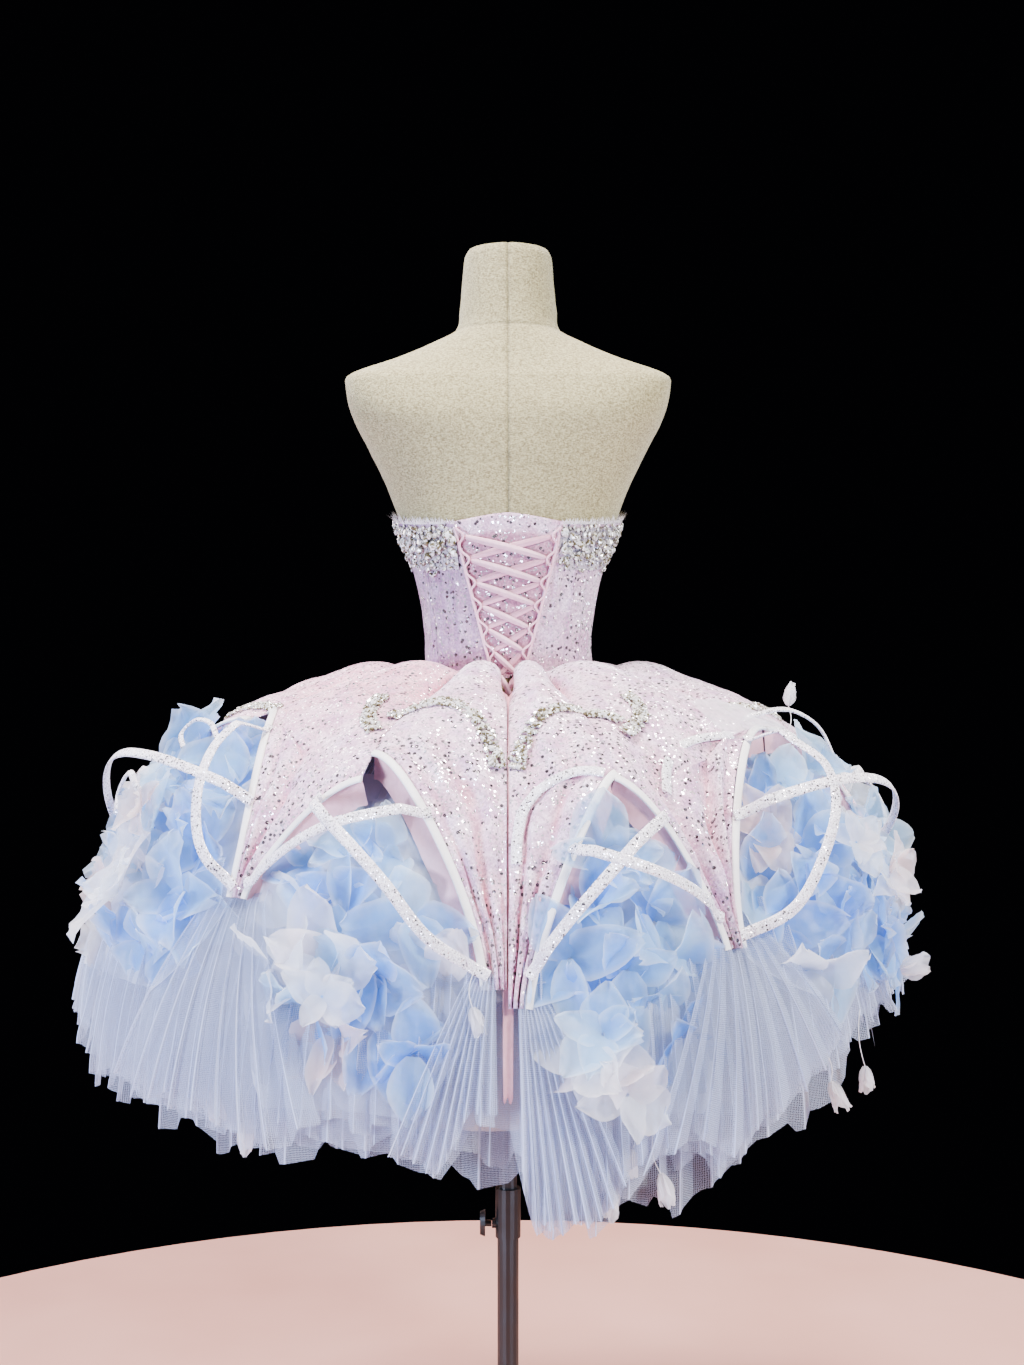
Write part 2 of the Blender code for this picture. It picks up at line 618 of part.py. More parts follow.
def build_knob():
    """Thumb screw with an oval wing, its origin on its own axis."""
    shank = cross_rod("clamp_knob", "black_steel", SCREW_RADIUS,
                      SCREW_BOSS_END + SEAM_GAP, KNOB_END - KNOB_THICK)
    wing = bmesh.new()
    bmesh.ops.create_cone(wing, cap_ends=True, segments=20, radius1=1.0, radius2=0.85,
                          depth=2.0)
    for vert in wing.verts:
        x, y, z = vert.co
        vert.co = (KNOB_END - KNOB_THICK / 2.0 * (1.0 - z), KNOB_HALF_WIDTH * y,
                   SCREW_HEIGHT + KNOB_HALF_SPAN * x)
    bmesh.ops.recalc_face_normals(wing, faces=wing.faces)
    mesh = bpy.data.meshes.new("wing")
    wing.to_mesh(mesh)
    wing.free()
    knob = join_solids(shank, [finish_object("wing", "black_steel", mesh)])
    axis = Vector((SCREW_BOSS_END, 0.0, SCREW_HEIGHT))
    for vert in knob.data.vertices:
        vert.co -= axis
    knob.location = axis


def build_rod():
    """Inner rod that carries the form and slides in the tube."""
    solid = bmesh.new()
    top = FORM_FOOT - SEAM_GAP
    bmesh.ops.create_cone(solid, cap_ends=True, segments=ROUND_SEGMENTS, radius1=ROD_RADIUS,
                          radius2=ROD_RADIUS, depth=top - ROD_FOOT)
    for vert in solid.verts:
        vert.co.z += (top + ROD_FOOT) / 2.0
    mesh = bpy.data.meshes.new("pole_rod")
    solid.to_mesh(mesh)
    solid.free()
    finish_object("pole_rod", "black_steel", mesh)


def section_point(angle, width, back, front, squareness):
    """Point of a squared ellipse whose back and front depths differ."""
    turn = radians(angle)
    side, fore = sin(turn), cos(turn)
    depth = back if fore > 0.0 else front
    radius = (abs(side / width) ** squareness + abs(fore / depth) ** squareness)
    radius **= -1.0 / squareness
    return radius * side, radius * fore


def build_form():
    """Linen-covered torso with flat arm plates, a neck and a capped foot."""
    solid = bmesh.new()
    rings = []
    for height, width, back, front, squareness in FORM_SECTIONS:
        ring = []
        for k in range(FORM_COLUMNS):
            x, y = section_point(360.0 * k / FORM_COLUMNS, width, back, front, squareness)
            ring.append(solid.verts.new((x, y, height)))
        rings.append(ring)
    for low, high in zip(rings, rings[1:]):
        for k in range(FORM_COLUMNS):
            n = (k + 1) % FORM_COLUMNS
            solid.faces.new((low[k], low[n], high[n], high[k]))
    solid.faces.new(rings[0])
    solid.faces.new(rings[-1])
    bmesh.ops.recalc_face_normals(solid, faces=solid.faces)
    mesh = bpy.data.meshes.new("form_body")
    solid.to_mesh(mesh)
    solid.free()
    finish_object("form_body", "form_linen", mesh, crease=50.0)


# ---- bodice ---------------------------------------------------------------------------------
def neckline(angle):
    """Height of the bodice's top edge."""
    return hermite(angle % 360.0, NECKLINE, 1)


def bodice(angle, level, out=0.0):
    """Point on the bodice, level 0 at the waist seam and 1 at the top edge."""
    height = WAIST_HEIGHT + level * (neckline(angle) - WAIST_HEIGHT)
    width, back, front = (hermite(height, BODICE_SECTIONS, column) for column in (1, 2, 3))
    x, y = section_point(angle, width + out, back + out, front + out, 2.0)
    return Vector((x, y, height))


def opening_angle(level):
    """Angle of the laced opening's edge from the centre back."""
    half = OPENING_LEAST + (OPENING_TOP - OPENING_LEAST) * level ** OPENING_CURVE
    height = WAIST_HEIGHT + level * (neckline(0.0) - WAIST_HEIGHT)
    width = hermite(height, BODICE_SECTIONS, 1)
    back = hermite(height, BODICE_SECTIONS, 2)
    lean = asin(half / width)
    return degrees(atan2(half, back * cos(lean)))


def panel_grid(first, last, levels, step, out):
    """Points of a bodice panel, where None is an edge of the laced opening."""
    grid = []
    for level in levels:
        low = opening_angle(level) if first is None else first + PANEL_GAP_DEGREES / 2
        high = 360.0 - opening_angle(level) if last is None else last - PANEL_GAP_DEGREES / 2
        count = max(2, round(((last or 360.0) - (first or 0.0)) / step))
        row = []
        for k in range(count + 1):
            angle = low + (high - low) * k / count
            height_out = out(k, level) if callable(out) else out
            row.append(bodice(angle, level, height_out))
        grid.append(row)
    return grid


def build_bodice():
    """Seven boned panels and the modesty panel behind the lacing."""
    for name, first, last in BODICE_PANELS:
        wall(name, "pink_glitter",
             panel_grid(first, last, BODICE_LEVELS, PANEL_STEP, 0.0),
             panel_grid(first, last, BODICE_LEVELS, PANEL_STEP, -BODICE_WALL))

    outer, inner = [], []
    for level in BODICE_LEVELS[1:]:
        reach = max(opening_angle(level) - MODESTY_INSET, MODESTY_LEAST)
        row = [-reach, -reach / 2, 0.0, reach / 2, reach]
        outer.append([bodice(angle, level * MODESTY_TOP, MODESTY_OUTER) for angle in row])
        inner.append([bodice(angle, level * MODESTY_TOP, MODESTY_INNER) for angle in row])
    wall("modesty_panel", "pink_glitter", outer, inner)


def build_crystal_trim():
    """Beaded band under the top edge, from one side of the lacing round the front."""
    edge = opening_angle(TRIM_LEVELS[-1]) + TRIM_FROM_OPENING

    def beads(k, level):
        crest = 0.5 + 0.5 * sin(TRIM_BEAD_TURN * k + TRIM_BEAD_RISE * level)
        return REST_GAP + TRIM_THICK + TRIM_BEAD * crest

    wall("crystal_trim", "crystal",
         panel_grid(edge, 360.0 - edge, TRIM_LEVELS, TRIM_STEP, beads),
         panel_grid(edge, 360.0 - edge, TRIM_LEVELS, TRIM_STEP, REST_GAP))


def opening_level(height):
    """Level on the bodice's back at a height."""
    return (height - WAIST_HEIGHT) / (neckline(0.0) - WAIST_HEIGHT)


def lace_route(first_side):
    """Places (sideways metres, height, half width) of one ribbon, from the top down."""
    step = (LACE_TOP - LACE_FOOT) / LACE_CROSSINGS
    route = []
    side = first_side
    for k in range(LACE_CROSSINGS):
        high, low = LACE_TOP - k * step, LACE_TOP - (k + 1) * step
        start = side * lace_edge(high)
        end = -side * lace_edge(low)
        drop = (high - low) - 2.0 * LACE_TURN
        for share, half in LACE_RUN:
            route.append((start + (end - start) * share,
                          high - LACE_TURN - drop * share, half))
        side = -side
    return route


def lace_edge(height):
    """Distance from the centre back to the loops that hold the ribbon."""
    level = opening_level(height)
    half = OPENING_LEAST + (OPENING_TOP - OPENING_LEAST) * level ** OPENING_CURVE
    return half + LACE_REACH


def lace_point(sideways, height, out):
    """Point over the bodice's back, by metres from the centre back."""
    back = hermite(height, BODICE_SECTIONS, 2)
    width = hermite(height, BODICE_SECTIONS, 1)
    return bodice(degrees(atan2(sideways, back * cos(asin(sideways / width)))),
                  opening_level(height), out)


def build_lacing():
    """Two halves of the ribbon, pinched where a loop turns them and crossed at the middle."""
    for name, first_side, over in (("lace_ribbon_left", 1.0, LACE_OVER),
                                   ("lace_ribbon_right", -1.0, 0.0)):
        route = lace_route(first_side)
        left, right, normals = [], [], []
        for k, (sideways, height, half) in enumerate(route):
            before, after = route[max(k - 1, 0)], route[min(k + 1, len(route) - 1)]
            along = Vector((after[0] - before[0], after[1] - before[1])).normalized()
            middle = 1.0 - min(1.0, abs(sideways) / (lace_edge(height) - LACE_REACH / 2.0))
            out = LACE_LIFT + over * min(1.0, LACE_OVER_SPREAD * middle)
            left.append(lace_point(sideways - along.y * half, height + along.x * half, out))
            right.append(lace_point(sideways + along.y * half, height - along.x * half, out))
            normals.append((lace_point(sideways, height, 0.01)
                            - lace_point(sideways, height, 0.0)).normalized())
        strip(name, "satin_pink", left, right, normals, 0.0, LACE_THICK)

    left, right, normals = [], [], []
    for run, half in TAIL:
        turn = half / arc_metres(0.0, run)
        left.append(skin(-turn, run))
        right.append(skin(turn, run))
        normals.append(skin_normal(0.0, run))
    strip("lace_tail", "satin_pink", left, right, normals, TAIL_LOW, TAIL_HIGH)


# ---- overskirt ------------------------------------------------------------------------------
def border(index, edge, run):
    """Angle of a petal's first or last edge at a run."""
    _, first, last, tip, tip_run, first_corner, last_corner, first_bow, last_bow = PETALS[index]
    sign = 1.0 if edge == "first" else -1.0
    seam = first if edge == "first" else last
    corner = first_corner if edge == "first" else last_corner
    bow = first_bow if edge == "first" else last_bow
    metres = arc_metres(seam, run)
    if corner is None:
        half = SLIT_HALF_WIDTH + SLIT_TOP_WIDENING * max(0.0, 1.0 - run / SLIT_TOP_RUN)
        return seam + sign * half / metres
    if run <= corner:
        return seam + sign * SEAM_GAP / 2 / metres
    rest = min(max((tip_run - run) / (tip_run - corner), 0.0), 1.0)
    curve = 1.0 - (1.0 - rest ** bow) ** (1.0 / bow)
    end = tip - sign * TIP_HALF_WIDTH / metres
    return end + (seam + sign * SEAM_GAP / 2 / metres - end) * curve


def arch_runs(index, edge):
    """Runs of a petal's rows along one arch, from its corner to the tip."""
    tip_run, corner = PETALS[index][4], PETALS[index][5 if edge == "first" else 6]
    return [tip_run - (tip_run - corner) * cos(radians(turn)) for turn in PETAL_ARCH_TURNS]


def edge_path(index, edge):
    """Places (angle, run) along a whole petal edge, from the waist to the tip."""
    tip_run, first_corner, last_corner = PETALS[index][4:7]
    arched = edge if (first_corner if edge == "first" else last_corner) is not None else None
    if arched is None:
        arched = "last" if edge == "first" else "first"
    arch = arch_runs(index, arched)
    top = PETAL_TOP_RUNS[-1]
    between = [top + (arch[0] - top) * share for share in PETAL_MID_SHARES]
    runs = list(PETAL_TOP_RUNS) + between + arch
    return [(border(index, edge, min(run, tip_run)), run) for run in runs]


def moved_aside(path, sideways, level_start=False, level_end=False):
    """A path of (angle, run) places moved sideways in the surface, by metres.

    An end on a seam is moved straight down, so that it stays on its own side of the seam.
    """
    moved = []
    last = len(path) - 1
    for k, (angle, run) in enumerate(path):
        before, after = path[max(k - 1, 0)], path[min(k + 1, last)]
        metres = arc_metres(angle, run)
        along = Vector(((after[0] - before[0]) * metres, after[1] - before[1])).normalized()
        if (k == 0 and level_start) or (k == last and level_end):
            along = Vector((copysign(1.0, along.x), 0.0))
        moved.append((angle + along.y * sideways / metres, run - along.x * sideways))
    return moved


def build_petal(index):
    """One petal: puffed at the waist, narrowing to its tip between two arches."""
    first, last = edge_path(index, "first"), edge_path(index, "last")
    outer, inner = [], []
    for (angle0, run0), (angle1, run1) in zip(first, last):
        shares = [k / PETAL_COLUMNS for k in range(PETAL_COLUMNS + 1)]
        row = [(angle0 + (angle1 - angle0) * t, run0 + (run1 - run0) * t * t * (3.0 - 2.0 * t))
               for t in shares]
        outer.append([skin(angle, run) for angle, run in row])
        inner.append([skin(angle, run, -PETAL_WALL) for angle, run in row])
    wall(PETALS[index][0], "pink_glitter", outer, inner)


def arch_border(index):
    """Places along a petal's bound edge, across its tip."""
    first_corner, last_corner = PETALS[index][5], PETALS[index][6]
    path = []
    if first_corner is not None:
        path += edge_path(index, "first")[-len(PETAL_ARCH_TURNS):]
    if last_corner is not None:
        path += list(reversed(edge_path(index, "last")[-len(PETAL_ARCH_TURNS):]))
    return path


def build_binding(index):
    """Satin binding along the petal's curved edge."""
    path = arch_border(index)
    level = PETALS[index][5] is not None, PETALS[index][6] is not None
    near = moved_aside(path, -SEAM_GAP, *level)
    far = moved_aside(path, -SEAM_GAP - BINDING_WIDTH, *level)
    normals = [skin_normal(angle, run) for angle, run in path]
    strip(PETALS[index][0].replace("petal", "binding"), "satin_white",
          [skin(*place) for place in near], [skin(*place) for place in far],
          normals, BINDING_LOW, BINDING_HIGH)


def smooth_path(controls, samples):
    """Places along a smooth curve through control places of any length."""
    count = len(controls) - 1
    tables = [[(float(i), control[c]) for i, control in enumerate(controls)]
              for c in range(len(controls[0]))]
    return [tuple(hermite(count * k / samples, table, 1) for table in tables)
            for k in range(samples + 1)]


def band_lift(angle, from_end, seat, rise):
    """Height of a band off the surface: seated at its ends, bowed out over the arch."""
    over_arch = sin(pi * share_between(angle, COLUMN_ANGLES))
    clear = min(1.0, max(0.0, from_end - BINDING_WIDTH) / BAND_RAMP)
    return seat + rise * over_arch * clear


def build_bands(name, seat, rise, bands):
    """Glitter bands that cross over one arch, fused where they cross."""
    solids = []
    for start, between, end in bands:
        controls = [(border(*start), start[2]), *between, (border(*end), end[2])]
        path = smooth_path(controls, BAND_SAMPLES)
        ends = skin(*path[0]), skin(*path[-1])
        middle = []
        for angle, run in path:
            from_end = min((skin(angle, run) - place).length for place in ends)
            middle.append(skin(angle, run, band_lift(angle, from_end, seat, rise)))
        normals = [skin_normal(angle, run) for angle, run in path]
        left, right = [], []
        for k, point in enumerate(middle):
            along = middle[min(k + 1, BAND_SAMPLES)] - middle[max(k - 1, 0)]
            aside = normals[k].cross(along).normalized() * BAND_WIDTH / 2.0
            left.append(point - aside)
            right.append(point + aside)
        under = BAND_STAGGER * len(solids)
        solids.append(strip(name if not solids else "band", "glitter_white",
                            left, right, normals, under, under + BAND_THICK))
    join_solids(solids[0], solids[1:], "MANIFOLD")


def build_hoop(name, places):
    """Glitter band that lies along a petal's face."""
    path = smooth_path(places, BAND_SAMPLES)
    half = BAND_WIDTH / 2.0
    left = [skin(*place) for place in moved_aside(path, -half)]
    right = [skin(*place) for place in moved_aside(path, half)]
    normals = [skin_normal(*place) for place in path]
    strip(name, "glitter_white", left, right, normals, HOOP_LIFT, HOOP_LIFT + BAND_THICK)


def build_flower_bed(name, before, after, lowest, height, seed):
    """Bed of blossoms that fills an arch and hangs a little below its tips."""
    aside = SEAM_GAP + BINDING_WIDTH + SEAM_GAP
    arch_rows = len(PETAL_ARCH_TURNS)
    left = moved_aside(edge_path(before, "last")[-arch_rows:], aside)[BED_FIRST_ROW:]
    right = moved_aside(edge_path(after, "first")[-arch_rows:], -aside)[BED_FIRST_ROW:]
    (angle0, run0), (angle1, run1) = left[-1], right[-1]
    narrowing = (angle1 - angle0) / 2.0 * BED_TAIL_NARROWING
    for k in range(1, BED_TAIL_ROWS + 1):
        share = k / BED_TAIL_ROWS
        left.append((angle0 + narrowing * share ** 1.5, run0 + (lowest - run0) * share))
        right.append((angle1 - narrowing * share ** 1.5, run1 + (lowest - run1) * share))
    outer, inner = [], []
    for i, ((angle0, run0), (angle1, run1)) in enumerate(zip(left, right)):
        outer_row, inner_row = [], []
        for k in range(BED_COLUMNS + 1):
            t = k / BED_COLUMNS
            angle, run = angle0 + (angle1 - angle0) * t, run0 + (run1 - run0) * t
            inside = 0.0 if i == 0 else sin(pi * t)
            crest = 0.5 + 0.5 * sin(BLOSSOM_TURN * k + BLOSSOM_DROP * i + seed)
            lift = inside * (BED_SWELL + height * crest)
            outer_row.append(skin(angle, run, lift))
            inner_row.append(skin(angle, run, -BED_WALL))
        outer.append(outer_row)
        inner.append(inner_row)
    wall(name, "blue_organza", outer, inner)


# ---- under layers ---------------------------------------------------------------------------
def run_at_height(rows, height):
    """Run down a profile at which it reaches a height."""
    low, high = rows[0][0], rows[-1][0]
    for _ in range(40):
        middle = (low + high) / 2.0
        if hermite(middle, rows, 3) > height:
            low = middle
        else:
            high = middle
    return low


def build_net(name, columns, depth, waist_under, hem_under, hem_lower, seed, runs):
    """One gathered layer of net with sharp, uneven pleats and a raw hem."""
    outer, inner = [], []
    for level in range(len(runs) + 1):
        outer_row, inner_row = [], []
        for k in range(columns):
            wander = NET_WANDER * sin(WANDER_TURN * k + seed)
            angle = 360.0 * (k + wander) / columns % 360.0
            ripple = HEM_RIPPLE * sin(RIPPLE_TURN * k + seed)
            hem = straight(angle, HEM) - hem_lower + ripple
            run = runs[level] if level < len(runs) else run_at_height(NET, hem)
            full = min(run / PLEAT_START, 1.0)
            share = 1.0 - FOLD_SPREAD + FOLD_SPREAD * sin(FOLD_TURN * k + seed)
            fold = (k % 2) * depth * full * share
            under = waist_under + (hem_under - waist_under) * full
            outer_row.append(surface(NET, angle, run, -under - fold))
            inner_row.append(surface(NET, angle, run, -under - fold - NET_WALL))
        outer.append(outer_row)
        inner.append(inner_row)
    wall(name, "white_tulle", outer, inner, ring=True)


def build_lining():
    """Satin slip under the net, with a plain hem."""
    outer, inner = [], []
    total = LINING[-1][0]
    for share in LINING_ROWS:
        outer_row, inner_row = [], []
        for k in range(LINING_COLUMNS):
            angle = 360.0 * k / LINING_COLUMNS
            wave = LINING_HEM_WAVE * share * cos(radians(LINING_HEM_WAVES * angle))
            outer_row.append(surface(LINING, angle, share * total, wave))
            inner_row.append(surface(LINING, angle, share * total, wave - LINING_WALL))
        outer.append(outer_row)
        inner.append(inner_row)
    wall("lining", "satin_beige", outer, inner, ring=True)


def main():
    """Build every piece from the stand up."""
    for obj in list(bpy.data.objects):
        bpy.data.objects.remove(obj, do_unlink=True)
    build_stand()
    build_rod()
    build_form()
    build_bodice()
    build_crystal_trim()
    build_lacing()
    build_lining()
    for layer in NET_LAYERS:
        build_net(*layer)
    for index in range(len(PETALS)):
        build_petal(index)
        build_binding(index)
    for bands in BANDS:
        build_bands(*bands)
    for hoop in HOOPS:
        build_hoop(*hoop)
    for bed in FLOWER_BEDS:
        build_flower_bed(*bed)


main()
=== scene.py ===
"""Mini prom dress on a dress form: cloth, crystals, flowers, net and finishes on the CAD frame.

Metres, +Z up. The laced back faces +Y, the wearer's left is +X. Angles are in degrees from the
centre back, and grow towards +X; run is the distance down the skirt's cloth from the waist seam.
The tables repeat the shapes of the CAD part, so that each piece sits where its solid is.
"""

import logging
import math
from dataclasses import dataclass, field
from enum import Enum
from typing import Sequence

import bpy
import numpy as np
from mathutils import Matrix, Vector


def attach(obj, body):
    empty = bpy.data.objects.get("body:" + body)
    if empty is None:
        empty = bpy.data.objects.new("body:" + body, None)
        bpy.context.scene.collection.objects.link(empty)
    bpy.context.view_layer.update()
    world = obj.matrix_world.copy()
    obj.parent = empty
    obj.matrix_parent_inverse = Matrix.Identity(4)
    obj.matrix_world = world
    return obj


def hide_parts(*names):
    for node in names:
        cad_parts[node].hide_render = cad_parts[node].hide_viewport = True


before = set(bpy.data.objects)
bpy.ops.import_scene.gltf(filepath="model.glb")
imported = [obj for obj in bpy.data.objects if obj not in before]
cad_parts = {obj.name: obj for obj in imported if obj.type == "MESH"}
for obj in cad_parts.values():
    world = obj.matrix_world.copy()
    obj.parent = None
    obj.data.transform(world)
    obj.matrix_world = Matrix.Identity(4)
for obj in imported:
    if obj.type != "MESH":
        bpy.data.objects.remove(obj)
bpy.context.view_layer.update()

LOG = logging.getLogger("prom_dress")
DRESSED = "dressed_form"

# ---- shape tables of the CAD part -----------------------------------------------------------
# Dress form: height, half width, depth to the back, depth to the front, squareness.
FORM_SECTIONS = (
    (0.775, 0.110, 0.085, 0.075, 2.0),
    (0.785, 0.140, 0.106, 0.092, 2.0),
    (0.830, 0.158, 0.122, 0.104, 2.0),
    (0.890, 0.161, 0.124, 0.106, 2.0),
    (0.950, 0.146, 0.112, 0.101, 2.0),
    (1.010, 0.113, 0.090, 0.087, 2.0),
    (1.045, 0.0962, 0.0782, 0.0782, 2.0),
    (1.070, 0.0948, 0.0766, 0.0766, 2.0),
    (1.095, 0.0942, 0.0760, 0.0772, 2.0),
    (1.120, 0.0945, 0.0768, 0.0808, 2.0),
    (1.150, 0.0966, 0.0796, 0.0872, 2.0),
    (1.185, 0.1020, 0.0850, 0.0980, 2.0),
    (1.220, 0.1100, 0.0905, 0.1100, 2.0),
    (1.262, 0.1268, 0.0960, 0.1212, 2.0),
    (1.300, 0.1415, 0.1002, 0.1212, 2.05),
    (1.345, 0.1630, 0.1050, 0.1110, 2.35),
    (1.383, 0.1820, 0.1050, 0.0980, 3.0),
    (1.420, 0.1900, 0.0930, 0.0840, 3.4),
    (1.431, 0.1860, 0.0860, 0.0790, 3.0),
    (1.451, 0.1340, 0.0760, 0.0700, 2.4),
    (1.469, 0.0930, 0.0680, 0.0640, 2.1),
    (1.485, 0.0630, 0.0620, 0.0600, 2.0),
    (1.510, 0.0570, 0.0575, 0.0565, 2.0),
    (1.572, 0.0510, 0.0520, 0.0515, 2.0),
    (1.580, 0.0470, 0.0480, 0.0475, 2.0),
)
# Bodice's outer face: height, half width, depth to the back, depth to the front.
BODICE_SECTIONS = (
    (1.050, 0.0995, 0.0812, 0.0812),
    (1.070, 0.0985, 0.0802, 0.0802),
    (1.095, 0.0978, 0.0795, 0.0808),
    (1.120, 0.0982, 0.0804, 0.0845),
    (1.150, 0.1006, 0.0834, 0.0912),
    (1.185, 0.1064, 0.0892, 0.1024),
    (1.220, 0.1152, 0.0950, 0.1154),
    (1.262, 0.1330, 0.1008, 0.1268),
    (1.300, 0.1462, 0.1050, 0.1280),
)
NECKLINE = (
    (0.0, 1.258), (30.0, 1.255), (70.0, 1.259), (110.0, 1.275), (140.0, 1.296),
    (158.0, 1.300), (180.0, 1.284), (202.0, 1.300), (220.0, 1.296), (250.0, 1.275),
    (290.0, 1.259), (330.0, 1.255), (360.0, 1.258),
)
WAIST_HEIGHT = 1.0580
OPENING_TOP = 0.0600
OPENING_LEAST = 0.0078
OPENING_CURVE = 0.92
PANELS = (
    ("bodice_back_left", None, 62.0), ("bodice_side_left", 62.0, 108.0),
    ("bodice_front_left", 108.0, 151.0), ("bodice_front_center", 151.0, 209.0),
    ("bodice_front_right", 209.0, 252.0), ("bodice_side_right", 252.0, 298.0),
    ("bodice_back_right", 298.0, None),
)
# Overskirt, net and slip down the cloth: half width, half depth, height.
DOME_SECTIONS = (
    (0.0995, 0.0812, 1.0620),
    (0.1038, 0.0860, 1.0700),
    (0.1130, 0.0970, 1.0765),
    (0.1330, 0.1190, 1.0790),
    (0.1650, 0.1530, 1.0765),
    (0.2080, 0.1970, 1.0690),
    (0.2820, 0.2670, 1.0480),
    (0.3510, 0.3270, 1.0120),
    (0.4060, 0.3740, 0.9620),
    (0.4450, 0.4080, 0.9020),
    (0.4660, 0.4300, 0.8400),
    (0.4780, 0.4450, 0.7750),
    (0.4870, 0.4560, 0.7100),
    (0.4940, 0.4620, 0.6400),
)
NET_SECTIONS = (
    (0.1036, 0.0853, 1.0572),
    (0.1500, 0.1370, 1.0510),
    (0.2100, 0.2000, 1.0350),
    (0.2950, 0.2790, 0.9960),
    (0.3660, 0.3420, 0.9340),
    (0.4180, 0.3880, 0.8600),
    (0.4520, 0.4200, 0.7800),
    (0.4700, 0.4380, 0.7000),
    (0.4760, 0.4470, 0.6200),
    (0.4760, 0.4480, 0.5300),
)
LINING_SECTIONS = (
    (0.0986, 0.0803, 1.0572),
    (0.1380, 0.1250, 0.9950),
    (0.1850, 0.1760, 0.9250),
    (0.2280, 0.2200, 0.8450),
    (0.2620, 0.2540, 0.7600),
    (0.2850, 0.2760, 0.6800),
    (0.2950, 0.2860, 0.6180),
)
# Relief of the overskirt: run, puff between seams, bulge over the arches.
RELIEF = (
    (0.000, 0.0000, 0.000),
    (0.020, 0.0005, 0.000),
    (0.050, 0.0080, 0.000),
    (0.120, 0.0100, 0.000),
    (0.200, 0.0060, 0.002),
    (0.270, 0.0020, 0.008),
    (0.350, 0.0000, 0.014),
    (0.450, 0.0000, 0.018),
    (0.550, 0.0000, 0.014),
    (0.700, 0.0000, 0.006),
)
# Petals: name, first edge, last edge, tip angle, tip run, arch corner's run at each edge, bow.
PETALS = (
    ("petal_back_left", 0.0, 22.0, 1.7, 0.535, None, 0.293, None, 1.5),
    ("petal_side_back_left", 22.0, 62.0, 39.5, 0.457, 0.330, 0.205, 1.5, 2.0),
    ("petal_side_left", 62.0, 108.0, 85.0, 0.478, 0.230, 0.268, 2.0, 2.0),
    ("petal_front_left", 108.0, 155.0, 131.0, 0.470, 0.282, 0.292, 2.0, 2.0),
    ("petal_front", 155.0, 204.0, 180.0, 0.490, 0.288, 0.288, 2.0, 2.0),
    ("petal_front_right", 204.0, 252.0, 228.0, 0.470, 0.292, 0.282, 2.0, 2.0),
    ("petal_side_right", 252.0, 304.0, 279.0, 0.486, 0.274, 0.255, 2.0, 2.0),
    ("petal_side_back_right", 304.0, 344.0, 329.0, 0.505, 0.252, 0.328, 2.0, 1.4),
    ("petal_back_right", 344.0, 360.0, 358.7, 0.552, 0.322, None, 1.35, None),
)
# Bands: name, lift at the ends, bow, then each band's start, places between and end.
BANDS = (
    ("bands_back_left", 0.0021, 0.024, (
        ((1, "first", 0.442), ((28.3, 0.416), (22.3, 0.399), (16.5, 0.384)), (0, "last", 0.366)),
        ((1, "first", 0.352), ((19.3, 0.417), (15.3, 0.447), (10.0, 0.493)), (0, "last", 0.523)),
    )),
    ("bands_side_back_left", 0.0021, 0.045, (
        ((1, "last", 0.250), ((50.0, 0.276), (50.5, 0.315), (48.8, 0.365), (45.5, 0.415)),
         (1, "last", 0.448)),
        ((1, "last", 0.350), ((46.0, 0.345), (57.0, 0.348), (69.0, 0.362)), (2, "first", 0.410)),
    )),
    ("bands_side_front_left", 0.0014, 0.026, (
        ((2, "last", 0.442), ((98.0, 0.404), (110.0, 0.370)), (3, "first", 0.347)),
        ((2, "last", 0.342), ((108.0, 0.387), (118.0, 0.427)), (3, "first", 0.447)),
    )),
    ("bands_front_left", 0.0016, 0.025, (
        ((3, "last", 0.437), ((147.0, 0.410), (158.0, 0.377)), (4, "first", 0.357)),
        ((3, "last", 0.357), ((152.0, 0.387), (165.0, 0.437)), (4, "first", 0.462)),
    )),
    ("bands_front_right", 0.0016, 0.025, (
        ((4, "last", 0.462), ((195.0, 0.437), (208.0, 0.387)), (5, "first", 0.357)),
        ((4, "last", 0.357), ((202.0, 0.377), (213.0, 0.410)), (5, "first", 0.437)),
    )),
    ("bands_side_front_right", 0.0017, 0.026, (
        ((5, "last", 0.447), ((242.0, 0.427), (252.0, 0.387)), (6, "first", 0.342)),
        ((5, "last", 0.347), ((250.0, 0.370), (262.0, 0.404)), (6, "first", 0.447)),
    )),
    ("bands_side_back_right", 0.0021, 0.042, (
        ((7, "first", 0.272), ((312.5, 0.312), (310.3, 0.350), (311.8, 0.388), (315.5, 0.428),
                               (321.0, 0.474)), (7, "first", 0.494)),
        ((7, "first", 0.366), ((315.5, 0.366), (306.5, 0.372), (296.0, 0.388)),
         (6, "last", 0.424)),
    )),
    ("bands_back_right", 0.0025, 0.024, (
        ((7, "last", 0.372), ((342.5, 0.400), (348.8, 0.452)), (8, "first", 0.524)),
        ((8, "first", 0.402), ((347.6, 0.422), (340.6, 0.446)), (7, "last", 0.474)),
    )),
)
HOOPS = (
    ("hoop_back_right", ((345.6, 0.327), (349.0, 0.321), (352.4, 0.324), (355.4, 0.334),
                         (357.6, 0.353), (358.6, 0.382), (358.8, 0.412))),
    ("hoop_side_back_right", ((335.6, 0.341), (333.4, 0.306), (330.2, 0.282), (326.4, 0.268),
                              (321.6, 0.263), (316.0, 0.267))),
)
